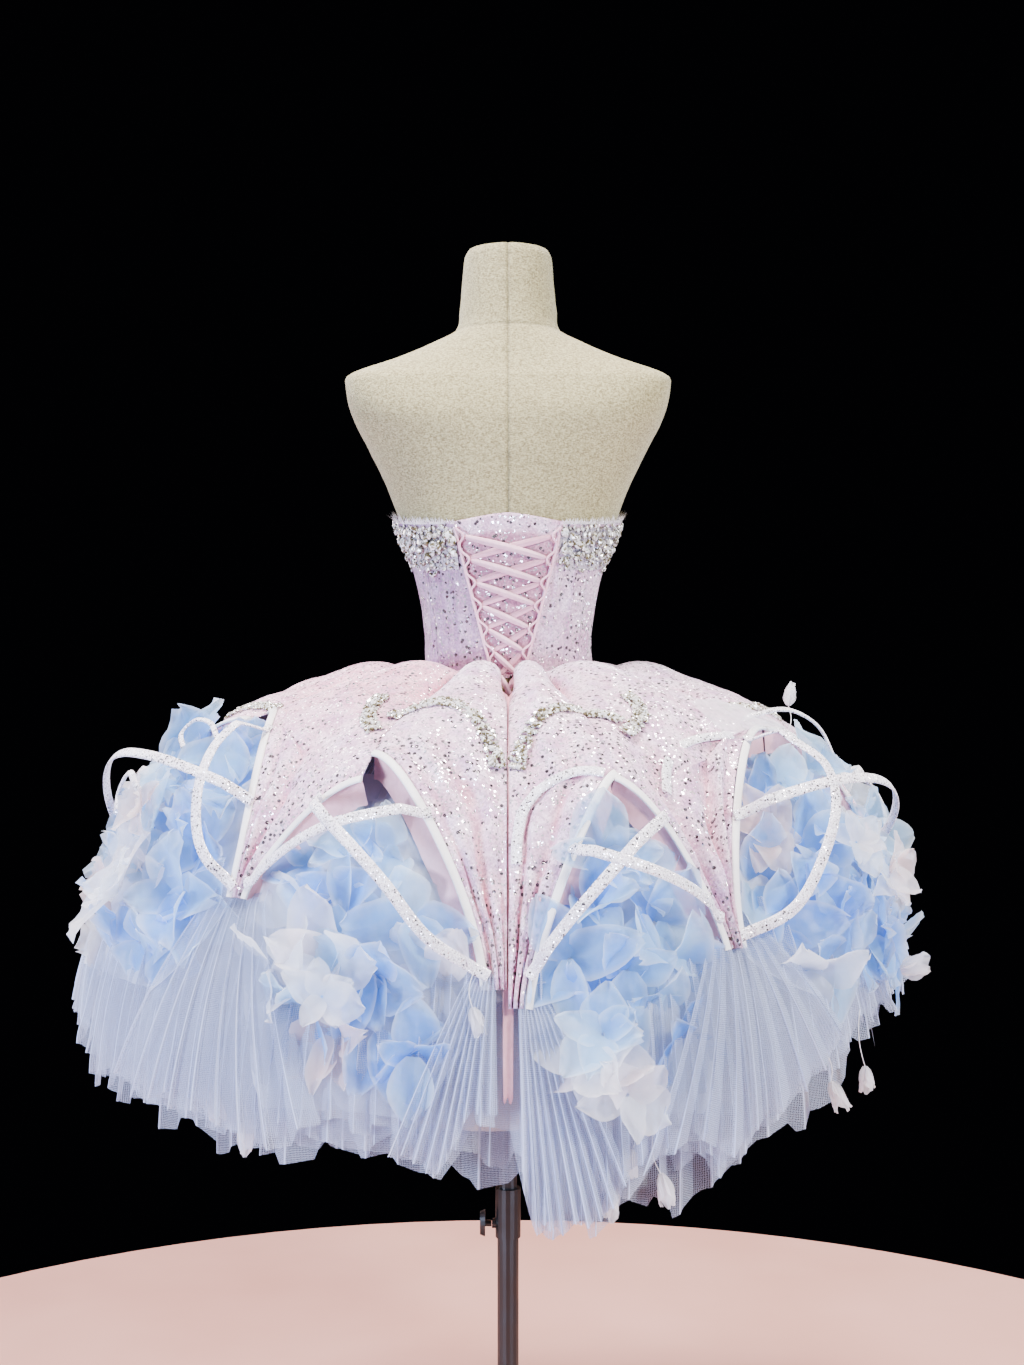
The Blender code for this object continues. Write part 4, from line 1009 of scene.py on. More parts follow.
@dataclass(frozen=True)
class Satin:
    """Satin weave: smooth, long floats, a soft streaked highlight."""

    name: str
    colour: str
    shade: str
    roughness: float = 0.32

    def make(self) -> bpy.types.Material:
        """Streaks along the cloth's length and the piece's own tint.

        Returns:
            The material.
        """
        pen = Pen(self.name)
        place = pen.object_place()
        streaks = pen.noise(place, 0.006, 3.0)
        tone = pen.mix(streaks, srgb(self.shade), srgb(self.colour))
        tone = pen.mix(1.0, tone, pen.tint(), "MULTIPLY")
        threads = pen.weave(pen.flat_place(), 0.0005)
        pen.shade(Base_Color=tone, Roughness=pen.ramp(streaks, 0.3, 0.7, self.roughness,
                                                      self.roughness + 0.12),
                  IOR=1.5, Anisotropic=0.5, Sheen_Weight=0.3, Sheen_Roughness=0.3,
                  Normal=pen.bump(threads, 0.00006))
        return pen.material


@dataclass(frozen=True)
class Organza:
    """Crisp sheer organza: light comes through it, edges catch the light."""

    name: str
    clear: float
    through: float = 0.45
    roughness: float = 0.45

    def make(self) -> bpy.types.Material:
        """Surface with painted highlights on its crumples, light from behind and a clear share.

        Returns:
            The material.
        """
        pen = Pen(self.name)
        place = pen.object_place()
        tint = pen.tint()
        crumple = pen.noise(place, 0.012, 4.0)
        # Painted highlight: the raised parts of the crumple are drawn whiter.
        tone = pen.mix(pen.ramp(crumple, 0.35, 0.7), tint, pen.mix(0.15, tint,
                                                                   srgb("ffffff")))
        relief_normal = pen.bump(crumple, 0.0010)
        pen.shade(Base_Color=tone, Roughness=self.roughness, IOR=1.45, Sheen_Weight=0.35,
                  Sheen_Roughness=0.3, Normal=relief_normal)
        glow = pen.node("ShaderNodeBsdfTranslucent", Color=tone, Normal=relief_normal)
        cloth = pen.node("ShaderNodeMixShader", i0=self.through,
                         i1=pen.shader.outputs[0], i2=glow.outputs[0])
        hole = pen.node("ShaderNodeBsdfTransparent")
        gloss = pen.node("ShaderNodeLayerWeight", Blend=0.35)
        share = pen.ramp(gloss.outputs["Facing"], 0.0, 1.0, self.clear, 0.0)
        whole = pen.node("ShaderNodeMixShader", i0=share, i1=cloth.outputs[0],
                         i2=hole.outputs[0])
        pen.tree.links.new(whole.outputs[0], pen.output.inputs["Surface"])
        return pen.material


@dataclass(frozen=True)
class Net:
    """Stiff hexagon net: fine threads with open cells, whiter where layers stack; the tint
    paints the pleat crests whiter and denser and the net between them darker.
    """

    name: str
    colour: str = "d9e4ff"
    cell: float = 0.0017
    cover: float = 0.36

    def make(self) -> bpy.types.Material:
        """Threads between cells are cloth, the cells are clear.

        Returns:
            The material.
        """
        pen = Pen(self.name)
        place = pen.flat_place()
        cells = pen.node("ShaderNodeTexVoronoi", {"feature": "DISTANCE_TO_EDGE"}, Vector=place,
                         Scale=1.0 / self.cell, Randomness=0.35)
        thread = pen.ramp(cells.outputs["Distance"], 0.06, 0.16, 1.0, 0.0)
        cloth_share = pen.ramp(thread, 0.0, 1.0, self.cover * 0.35, 0.9)
        edge = pen.node("ShaderNodeLayerWeight", Blend=0.55).outputs["Facing"]
        cloth_share = pen.math("ADD", cloth_share, pen.ramp(edge, 0.3, 1.0, 0.0, 0.45))
        # Painted highlight: the tint's crest mark makes the net denser and whiter along each
        # pleat crest.
        crest_fold_and_highlight = pen.node("ShaderNodeSeparateColor", i0=pen.tint()).outputs[0]
        cloth_share = pen.math("ADD", cloth_share, pen.ramp(crest_fold_and_highlight, 0.74, 1.0, 0.0, 0.8))
        # Painted shade: the tint darkens the net away from the pleat crests.
        tone = pen.mix(1.0, srgb(self.colour), pen.tint(), "MULTIPLY")
        pen.shade(Base_Color=tone, Roughness=0.6, IOR=1.5, Sheen_Weight=0.5,
                  Sheen_Roughness=0.3)
        glow = pen.node("ShaderNodeBsdfTranslucent", Color=tone)
        cloth = pen.node("ShaderNodeMixShader", i0=0.4, i1=pen.shader.outputs[0],
                         i2=glow.outputs[0])
        hole = pen.node("ShaderNodeBsdfTransparent")
        whole = pen.node("ShaderNodeMixShader", i0=pen.math("MINIMUM", cloth_share, 1.0),
                         i1=hole.outputs[0], i2=cloth.outputs[0])
        pen.tree.links.new(whole.outputs[0], pen.output.inputs["Surface"])
        return pen.material


@dataclass(frozen=True)
class Crystal:
    """Clear cut glass on a silver foil, with painted reflections: cells drawn bright white or
    dark olive stand in for facets mirroring light and dark.
    """

    def make(self) -> bpy.types.Material:
        """Facets as glass over mirror, their reflections painted as bright and dark colour
        cells; the tint is the foil's colour.

        Returns:
            The material.
        """
        pen = Pen("cut_glass_on_foil")
        place = pen.object_place()
        grain = pen.grains(place, 0.0023)
        light = pen.node("ShaderNodeSeparateColor", i0=grain.outputs["Color"]).outputs[0]
        # Painted reflections: each cell is drawn white or dark olive, as if a facet mirrored
        # light or dark.
        tone = pen.mix(pen.ramp(light, 0.30, 0.62), srgb("6f6547"), srgb("ffffff"))
        tone = pen.mix(1.0, tone, pen.tint(), "MULTIPLY")
        pen.shade(Base_Color=tone, Roughness=0.12, Metallic=0.15, IOR=1.52,
                  Coat_Weight=1.0, Coat_Roughness=0.02)
        return pen.material


@dataclass
class Finishes:
    """Every finish of the dress, made once."""

    linen: bpy.types.Material = field(default_factory=lambda: Linen().make())
    paint: bpy.types.Material = field(default_factory=lambda: SatinPaint().make())
    glitter: bpy.types.Material = field(default_factory=lambda: GlitterCloth(
        "pink_glitter_tulle", "f2dbea", "dcb4cb").make())
    band: bpy.types.Material = field(default_factory=lambda: GlitterCloth(
        "white_glitter_tape", "fbfafc", "f0eef4", 0.0012, 0.0028, 0.62).make())
    white_satin: bpy.types.Material = field(default_factory=lambda: Satin(
        "white_satin_tape", "faf7f6", "ece6e6").make())
    pink_satin: bpy.types.Material = field(default_factory=lambda: Satin(
        "dusty_pink_satin", "f2c6d3", "d99fb2").make())
    beige_satin: bpy.types.Material = field(default_factory=lambda: Satin(
        "beige_satin_slip", "e8d6c6", "d8c2b0", 0.4).make())
    flower: bpy.types.Material = field(default_factory=lambda: Organza(
        "organza_petals", 0.42, 0.55).make())
    sheer: bpy.types.Material = field(default_factory=lambda: Organza(
        "sheer_white_organza", 0.72).make())
    ground: bpy.types.Material = field(default_factory=lambda: Organza(
        "organza_flower_ground", 0.30).make())
    net: bpy.types.Material = field(default_factory=lambda: Net("white_hexagon_net").make())
    crystal: bpy.types.Material = field(default_factory=lambda: Crystal().make())


# ---- dress form and stand -------------------------------------------------------------------
@dataclass
class DressForm:
    """Linen-covered torso with its seams and stitches."""

    finishes: Finishes
    seam_half: float = 0.0017
    seam_depth: float = 0.0020
    neck_seam: float = 1.4845

    def _angles(self) -> np.ndarray:
        """Columns, close together at the two centre seams.

        Returns:
            Degrees from the centre back.
        """
        near = np.array([0.0, 0.35, 0.8, 1.5, 2.6])
        coarse = np.arange(5.0, 176.0, 3.0)
        half = np.concatenate([near, coarse, 180.0 - near[::-1]])
        return np.concatenate([half, 360.0 - half[-2:0:-1]])

    def build(self) -> None:
        """Make the cover and its hand stitches."""
        angles = self._angles()
        heights = np.concatenate([np.linspace(0.775, 1.24, 36), np.linspace(1.245, 1.579, 96),
                                  [1.580]])
        heights = np.sort(np.concatenate([heights, [self.neck_seam - 0.0015, self.neck_seam,
                                                    self.neck_seam + 0.0015]]))
        angle, height = np.meshgrid(angles, heights)
        width, back, front, square = np.moveaxis(FORM.at(height), -1, 0)
        x, y = section_point(angle, width, back, front, square)
        points = np.stack([x, y, height], axis=-1)
        across = np.hypot(x, y)
        outward = np.stack([x, y, np.zeros_like(x)], axis=-1) / across[..., None]
        metres = np.radians(np.minimum(angle % 180.0, 180.0 - angle % 180.0)) * across
        seam = np.exp(-(metres / self.seam_half) ** 2)
        pucker = 0.0009 * np.exp(-(metres / 0.009) ** 2) * waves(height / 0.014,
                                                                 metres * 0, 5, 3)
        ring = np.exp(-((height - self.neck_seam) / 0.0016) ** 2)
        dip = (-self.seam_depth * seam * (height > 1.0) - 0.0009 * ring
               + pucker * (height > 1.0)
               + 0.0004 * waves(angle / 30.0, height / 0.05, 8, 3))
        points = points + outward * dip[..., None]
        cover = MeshBuffer()
        flat = np.stack([np.radians(angle) * 0.12, height], axis=-1)
        stitched = 0.75 + 0.35 * waves(height / 0.010, metres * 0, 6, 2)
        dark = np.clip(0.42 * seam * stitched * (height > 1.0) + 0.22 * ring, 0.0, 0.6)
        cover.grid(points, flat, (1.0 - dark)[..., None] * np.ones(3), ring=True, caps=True)
        place(cover.build("form_cover", self.finishes.linen, crease=60.0), Slot.LINEN,
              ("form_body",))


@dataclass
class Stand:
    """Keeps the stand's solids and gives them their paint."""

    finishes: Finishes

    def build(self) -> None:
        """Put the paint on every steel node."""
        for name in ("base_plate", "pole_tube", "pole_collar", "clamp_knob", "pole_rod"):
            solid = bpy.data.objects[name]
            solid.data.materials.clear()
            solid.data.materials.append(self.finishes.paint)


# ---- bodice ---------------------------------------------------------------------------------
@dataclass
class Bodice:
    """Seven glitter panels, the modesty panel and the rouleau along the lacing."""

    finishes: Finishes

    @staticmethod
    def _creases(angle: np.ndarray, level: np.ndarray) -> np.ndarray:
        """Soft upright wrinkles that fan out of the waist, and a few level ones.

        Args:
            angle: Degrees from the centre back.
            level: 0 at the waist seam, 1 at the top edge.

        Returns:
            Heights in metres.
        """
        upright = waves(angle / 13.0, level * 0.9, 21, 3)
        level_ones = waves(angle / 60.0, level * 5.0, 22, 3)
        return 0.0017 * upright + 0.0009 * level_ones * ease(1.0 - level, 0.2, 0.9)

    def panel(self, name: str, first: float | None, last: float | None) -> None:
        """One panel from seam to seam, or to the laced opening, its tint darkened by painted
        shade.
        """
        level = np.linspace(0.0, 1.0, 44)[:, None]
        low = opening_angle(level) if first is None else first + 0.1
        high = 360.0 - opening_angle(level) if last is None else last - 0.1
        level, share = np.meshgrid(level[:, 0], np.linspace(0.0, 1.0, 26), indexing="ij")
        angle = low + (high - low) * share
        at_seam = np.minimum(share, 1.0 - share) * (high - low)
        dip = -0.0007 * np.exp(-(at_seam / 0.9) ** 2)
        points = bodice(angle, level, dip + self._creases(angle, level))
        tint = np.ones((*angle.shape, 3))
        # Painted shade: the panel is drawn darker and pinker towards the waist, under the
        # skirt's puffs.
        shade = ease(1.0 - level, 0.45, 1.0)[..., None]
        tint = tint * (1.0 - shade * np.array([0.14, 0.30, 0.20]))
        # Painted shade: broad upright bands drawn darker mauve, in place of the shading of
        # folds.
        painted_upright_shade = ease(waves(angle / 11.0, level * 0.7, 23, 3), -0.1, 0.8)[..., None]
        tint = tint * (1.0 - painted_upright_shade * np.array([0.20, 0.30, 0.16]))
        # Painted shade: the whole bodice is drawn darker than the petals, and its +X side darker
        # still, as if turned from the light.
        turned = ease(np.sin(np.radians(angle)), -0.1, 0.7)[..., None]
        tint = tint * (0.86 - turned * np.array([0.32, 0.37, 0.28]))
        panel = MeshBuffer()
        panel.grid(points, np.stack([np.radians(angle) * 0.11, level * 0.21], axis=-1), tint)
        piece = place(panel.build(name + "_cloth", self.finishes.glitter, 0.0012),
                      Slot.GLITTER, (name,))

    def modesty(self) -> None:
        """Panel behind the lacing, its top edge folded over and a little bowed."""
        level = np.linspace(0.10, 1.0, 60)[:, None]
        reach = np.maximum(opening_angle(level) + 0.6, 3.0)
        share = np.linspace(-1.0, 1.0, 31)[None, :]
        angle = reach * share
        level = np.broadcast_to(level, angle.shape)
        bow = 0.006 * (1.0 - share ** 2) * ease(level, 0.8, 1.0)
        fold = np.exp(-((level - 0.93) / 0.012) ** 2)
        out = -0.0012 + 0.0005 * waves(angle / 9.0, level * 4.0, 31, 3) - 0.0010 * fold
        points = bodice(angle, level, out)
        points[..., 2] += bow
        pale = ease(level, 0.90, 0.93)[..., None]
        low_tint, high_tint = np.array([0.56, 0.35, 0.40]), np.array([0.98, 0.90, 0.93])
        panel = MeshBuffer()
        panel.grid(points, np.stack([np.radians(angle) * 0.1, level * 0.21], axis=-1),
                   low_tint + (high_tint - low_tint) * pale)
        piece = place(panel.build("modesty_cloth", self.finishes.glitter, 0.0008),
                      Slot.GLITTER, ("modesty_panel",))

    def edging(self) -> None:
        """Rouleau along each side of the opening, looped out round each turn of the ribbon."""
        for side, name in ((1.0, "left"), (-1.0, "right")):
            heights = np.linspace(LACE_TOP + 0.010, WAIST_HEIGHT + 0.0005, 420)
            step = (LACE_TOP - LACE_FOOT) / LACE_CROSSINGS
            half = opening_half((heights - WAIST_HEIGHT) / (neckline(0.0) - WAIST_HEIGHT))
            turn = np.cos(TAU * (heights - LACE_TOP) / step) * 0.5 + 0.5
            reach = np.minimum(LACE_REACH + 0.001, half * 0.55)
            points = back_point(side * (half + 0.0008 - reach * turn ** 1.5), heights,
                                0.0014 + 0.0012 * turn)
            outward = points * np.array([1.0, 1.0, 0.0])
            rouleau = MeshBuffer()
            pale = (1.10, 1.06, 1.06)
            rouleau.grid(sweep(points, outward, round_section(0.0024, 0.0022)), None, pale,
                         ring=True, caps=True)
            plain = back_point(side * (half + 0.0016), heights, 0.0008)
            rouleau.grid(sweep(plain, outward, round_section(0.0034, 0.0022)), None, pale,
                         ring=True, caps=True)
            place(rouleau.build(f"lacing_loops_{name}", self.finishes.pink_satin),
                  Slot.RIBBON)

    def build(self) -> None:
        """Make every piece of the bodice."""
        for name, first, last in PANELS:
            self.panel(name, first, last)
        self.modesty()
        self.edging()


@dataclass
class Lacing:
    """Satin ribbon crossed over the back, its fold, knot and free end."""

    finishes: Finishes
    crossings: int = LACE_CROSSINGS
    top: float = LACE_TOP
    foot: float = LACE_FOOT
    half_width: float = 0.0040

    def ribbon(self, name: str, node: str, first_side: float) -> None:
        """One half of the ribbon, over its partner where it runs from left to right.

        Args:
            name: Name of the piece.
            node: Solid that it stands for.
            first_side: 1 to start at the left, -1 at the right.
        """
        step = (self.top - self.foot) / self.crossings
        sideways, heights, lifts, halves = [], [], [], []
        side = first_side
        share = np.linspace(0.0, 1.0, 25)
        for k in range(self.crossings):
            high, low = self.top - k * step, self.top - (k + 1) * step
            start = side * self._edge(high)
            end = -side * self._edge(low)
            sideways.append(start + (end - start) * share)
            heights.append(high - 0.0010 - (high - low - 0.0020) * share)
            over = 0.0026 if side > 0.0 else 0.0
            lifts.append(0.0009 + over * np.sin(np.pi * share) ** 0.7)
            size = self.half_width * (1.0 - 0.30 * k / self.crossings)
            halves.append(size * (0.45 + 0.55 * np.sin(np.pi * share) ** 0.5))
            side = -side
        sideways, heights = np.concatenate(sideways), np.concatenate(heights)
        lifts, halves = np.concatenate(lifts), np.concatenate(halves)
        middle = back_point(sideways, heights, lifts)
        outward = back_point(sideways, heights, 0.01) - back_point(sideways, heights, 0.0)
        across = np.linspace(-1.0, 1.0, 9)
        ridge = np.stack([across, 0.0011 * (1.0 - np.abs(across)) ** 0.8
                          - 0.0004 * (across > 0.3)], axis=-1)
        grid = sweep(middle, outward, ridge, halves)
        # Painted light: across the ribbon's middle fold, one half is drawn lighter as a
        # highlight and the other darker as shade.
        tint = np.ones((*grid.shape[:2], 3)) * np.where(across < 0.0, 1.06, 0.86)[None, :, None]
        # Painted shade: where the ribbon runs under its partner, close to the back, it is drawn
        # darker.
        under = (lifts < 0.0013)[:, None, None]
        tint = np.where(under, tint * [0.86, 0.72, 0.78], tint)
        ribbon = MeshBuffer()
        ribbon.grid(grid, None, tint)
        place(ribbon.build(name, self.finishes.pink_satin, 0.0004), Slot.RIBBON, (node,))

    @staticmethod
    def _edge(height: float) -> float:
        """Distance from the centre back to the loops.

        Args:
            height: Metres above the floor.

        Returns:
            Metres from the centre back.
        """
        level = max(0.0, (height - WAIST_HEIGHT) / (neckline(0.0) - WAIST_HEIGHT))
        half = float(opening_half(level))
        return half - min(LACE_REACH, half * 0.5)

    def tail(self) -> None:
        """The free end, from under the knot at the last loop down the slit."""
        run = np.linspace(0.110, 0.640, 80)
        half = np.interp(run, [row[0] for row in TAIL], [row[1] for row in TAIL]) + 0.0005
        across = np.linspace(-1.0, 1.0, 7)[None, :]
        angle = across * (half / arc_metres(0.0, run))[:, None]
        runs = np.broadcast_to(run[:, None], angle.shape)
        fray = 0.010 * np.abs(waves(across * 3.0, run[:, None] * 0, 44, 3))
        runs = runs - fray * (run[:, None] > 0.63)
        out = -0.0040 + 0.0007 * waves(across * 0.4, runs / 0.05, 41, 3)
        tail = MeshBuffer()
        points = skin(angle, runs, out)
        start = np.stack([across[0] * 0.0085, np.full(7, 0.0925), np.full(7, 1.046)], axis=-1)
        fall = np.linspace(0.0, 1.0, 16)[:-1, None, None] ** 0.8
        points = np.concatenate([start + (points[0] - start) * fall, points])
        tail.grid(points, None, (0.98, 0.86, 0.86))
        piece = place(tail.build("lacing_free_end", self.finishes.pink_satin, 0.0005),
                      Slot.RIBBON, ("lace_tail",))

    def knot(self) -> None:
        """Three creased folds of ribbon tied at the foot of the lacing."""
        knot = MeshBuffer()
        for k, (x, z, lean, size) in enumerate(((0.003, 1.0515, 0.2, 0.0085),
                                                (-0.004, 1.0490, -0.5, 0.0075),
                                                (0.001, 1.0430, 1.3, 0.0080))):
            turn = np.linspace(0.0, TAU, 15)[:-1]
            rise = np.linspace(-1.0, 1.0, 9)[:, None]
            bulk = np.sqrt(np.clip(1.0 - rise ** 2 * 0.8, 0.05, 1.0))
            px = bulk * np.cos(turn)[None, :] * 0.55
            py = bulk * np.sin(turn)[None, :] * 0.45
            pz = np.broadcast_to(rise, px.shape)
            creased = 1.0 + 0.10 * np.sin(5.0 * turn + k)[None, :]
            points = np.stack([px * creased, py * creased, pz], axis=-1) * size
            spin = Matrix.Rotation(lean, 3, "Y")
            points = points @ np.array(spin).T + np.array([x, 0.0945 + 0.002 * k, z])
            knot.grid(points, None, (1.05, 1.0, 1.0), ring=True, caps=True)
        place(knot.build("lacing_knot", self.finishes.white_satin), Slot.RIBBON)

    def build(self) -> None:
        """Make both ribbons, the tail and the knot."""
        self.ribbon("lacing_from_left", "lace_ribbon_left", 1.0)
        self.ribbon("lacing_from_right", "lace_ribbon_right", -1.0)
        self.tail()
        self.knot()


# ---- crystals -------------------------------------------------------------------------------
class Gems:
    """Adds cut crystals in claw settings to a mesh."""

    def __init__(self, seed: int) -> None:
        """Start a row of crystals with its own seed."""
        self.random = np.random.default_rng(seed)
        self.stones = MeshBuffer()
        self.metal = MeshBuffer()

    def add(self, point: np.ndarray, normal: np.ndarray, along: np.ndarray, size: float,
            stretch: float = 1.0) -> None:
        """Set one stone.

        Args:
            point: Place of its foot.
            normal: Direction it faces.
            along: Direction of its long side.
            size: Width in metres.
            stretch: Length over width; 1 is round, 1.8 a marquise.
        """
        lean = self.random.normal(0.0, 0.16, 3)
        up = Vector(normal + lean).normalized()
        ahead = Vector(along)
        ahead = (ahead - up * ahead.dot(up)).normalized()
        frame_axes = np.array([ahead, up.cross(ahead), up])
        sides = 8
        turn = np.arange(sides) * TAU / sides + self.random.uniform(0.0, TAU)
        point_ends = 0.0 if stretch < 1.3 else 0.35

        def ring(radius: float, height: float, shift: float = 0.0) -> np.ndarray:
            """One ring of corners, narrowed towards the ends of a marquise."""
            cosine, sine = np.cos(turn + shift), np.sin(turn + shift)
            narrow = 1.0 - point_ends * cosine ** 2
            return np.stack([radius * stretch * cosine, radius * sine * narrow,
                             np.full(sides, height)], axis=-1)

        half = size / 2.0
        local = np.concatenate([ring(half * 0.52, half * 0.95, TAU / 16.0),
                                ring(half * 0.98, half * 0.52), ring(half * 0.9, half * 0.30)])
        faces = [list(range(sides))]
        for k in range(sides):
            n = (k + 1) % sides
            faces += [[k, sides + k, sides + n], [k, sides + n, n],
                      [sides + k, 2 * sides + k, 2 * sides + n, sides + n]]
        white = self.random.uniform(0.78, 1.0)
        warm = self.random.uniform(0.94, 1.0)
        self.stones.solid(local @ frame_axes + point, faces, (white, white * warm,
                                                              white * warm * 0.99))
        cup = np.concatenate([ring(half * 1.08, half * 0.42), ring(half * 0.75, -half * 0.05)])
        cup_faces = [[k, k + sides, (k + 1) % sides + sides, (k + 1) % sides]
                     for k in range(sides)]
        gold = self.random.uniform() < 0.3
        self.metal.solid(cup @ frame_axes + point, cup_faces,
                         (0.95, 0.84, 0.62) if gold else (0.88, 0.88, 0.90))

    def build(self, name: str, finishes: "Finishes", nodes: Sequence[str] = ()) -> None:
        """Make the stones and their settings."""
        place(self.stones.build(name, finishes.crystal, crease=0.0), Slot.CRYSTAL, nodes)
        place(self.metal.build(name + "_settings", finishes.crystal, crease=30.0),
              Slot.CRYSTAL)


@dataclass
class CrystalTrim:
    """Rows of round and marquise stones under the top edge, the lower rows ragged and sparser.
    """

    finishes: Finishes
    low: float = 0.725
    high: float = 0.965

    def build(self) -> None:
        """Make the ground tape, the stones and the feathered top edge."""
        edge = float(opening_angle(0.94)) + 1.5
        angle, level = np.meshgrid(np.linspace(edge, 360.0 - edge, 160),
                                   np.linspace(self.low, self.high, 7))
        ground = MeshBuffer()
        ground.grid(bodice(angle, level, 0.0011), None, (0.52, 0.48, 0.50))
        piece = place(ground.build("crystal_trim_tape", self.finishes.band), Slot.CRYSTAL)
        gems = Gems(101)
        random = gems.random
        rows = ((0.958, 0.0060), (0.925, 0.0092), (0.880, 0.0104), (0.836, 0.0096),
                (0.796, 0.0078), (0.762, 0.0060), (0.730, 0.0046))
        for row, (row_level, size) in enumerate(rows):
            at = edge + random.uniform(0.0, 3.0)
            while at < 360.0 - edge:
                ragged = 0.028 * waves(np.array(at / 17.0), np.array(0.0), 102, 2)
                here = row_level + random.normal(0.0, 0.009) + float(ragged) * (row > 2)
                keep = random.uniform() < (1.0 if row < 4 else 0.86 - 0.17 * (row - 4))
                width = size * random.uniform(0.7, 1.25)
                marquise = random.uniform() < 0.34
                if keep:
                    spot = bodice(at, here, 0.0016)
                    out = normalise(bodice(at, here, 0.01) - bodice(at, here, 0.0))
                    way = random.uniform(0.0, TAU)
                    side = normalise(bodice(at + 1.0, here) - bodice(at - 1.0, here))
                    along = side * math.cos(way) + np.array([0.0, 0.0, 1.0]) * math.sin(way)
                    gems.add(spot, out, along, width * (0.72 if marquise else 1.0),
                             1.7 if marquise else 1.0)
                metres = np.radians(1.0) * float(np.linalg.norm(bodice(at, here)[:2]))
                at += width * random.uniform(0.72, 0.95) / metres
        gems.build("crystal_trim_stones", self.finishes, ("crystal_trim",))
        self.feathers()

    def feathers(self) -> None:
        """Frayed white barbs that stand over the top edge."""
        random = np.random.default_rng(7)
        barbs = MeshBuffer()
        edge = float(opening_angle(1.0)) + 1.0
        for at in np.arange(edge, 360.0 - edge, 1.1):
            spot = bodice(at, 0.985, 0.0006)
            out = normalise(bodice(at, 1.0, 0.01) - bodice(at, 1.0, 0.0))
            side = normalise(bodice(at + 1.0, 1.0) - bodice(at - 1.0, 1.0))
            at_side = abs(math.sin(math.radians(at))) ** 3
            for _ in range(3):
                length = random.uniform(0.004, 0.009) * (0.7 + 0.9 * at_side)
                way = (np.array([0.0, 0.0, 1.0]) + out * random.normal(0.45, 0.4)
                       + side * random.normal(0.0, 0.5))
                way = way / np.linalg.norm(way)
                width = side * 0.0009
                barbs.solid(np.array([spot - width, spot + width,
                                      spot + way * length + width * 0.2]), [[0, 1, 2]],
                            (1.0, 0.99, 1.0))
        place(barbs.build("feathered_top_edge", self.finishes.white_satin), Slot.BINDING)


# ---- overskirt ------------------------------------------------------------------------------
def border(index: int, edge: str, run: np.ndarray) -> np.ndarray:
    """Angles of a petal's first or last edge at runs down the cloth."""
    _, first, last, tip, tip_run, first_corner, last_corner, first_bow, last_bow = PETALS[index]
    sign = 1.0 if edge == "first" else -1.0
    seam = first if edge == "first" else last
    corner = first_corner if edge == "first" else last_corner
    bow = first_bow if edge == "first" else last_bow
    run = np.asarray(run, float)
    metres = arc_metres(seam, run)
    if corner is None:
        half = SLIT_HALF_WIDTH + SLIT_TOP_WIDENING * np.clip(1.0 - run / SLIT_TOP_RUN, 0.0, 1.0)
        return seam + sign * half / metres
    rest = np.clip((tip_run - run) / (tip_run - corner), 0.0, 1.0)
    curve = 1.0 - (1.0 - rest ** bow) ** (1.0 / bow)
    end = tip - sign * TIP_HALF_WIDTH / metres
    straight_edge = seam + sign * SEAM_GAP / 2 / metres
    return np.where(run <= corner, straight_edge, end + (straight_edge - end) * curve)


def arch_runs(index: int, edge: str, count: int) -> np.ndarray:
    """Runs along one arch, from its corner to the tip."""
    tip_run, corner = PETALS[index][4], PETALS[index][5 if edge == "first" else 6]
    return tip_run - (tip_run - corner) * np.cos(np.linspace(0.0, math.pi / 2, count))


def edge_path(index: int, edge: str, top: int = 30, arch: int = 34) -> np.ndarray:
    """Places (angle, run) along a petal's edge, from the waist to the tip."""
    corner = PETALS[index][5 if edge == "first" else 6]
    other = "last" if edge == "first" else "first"
    runs = arch_runs(index, edge if corner is not None else other, arch)
    runs = np.concatenate([np.linspace(0.0, runs[0], top + 1)[:-1], runs])
    return np.stack([border(index, edge, runs), runs], axis=-1)


def arch_border(index: int, count: int = 34) -> list[np.ndarray]:
    """Bound edges of a petal as one path across its tip."""
    parts = []
    if PETALS[index][5] is not None:
        parts.append(edge_path(index, "first", 1, count)[1:])
    if PETALS[index][6] is not None:
        parts.append(edge_path(index, "last", 1, count)[1:][::-1])
    return parts


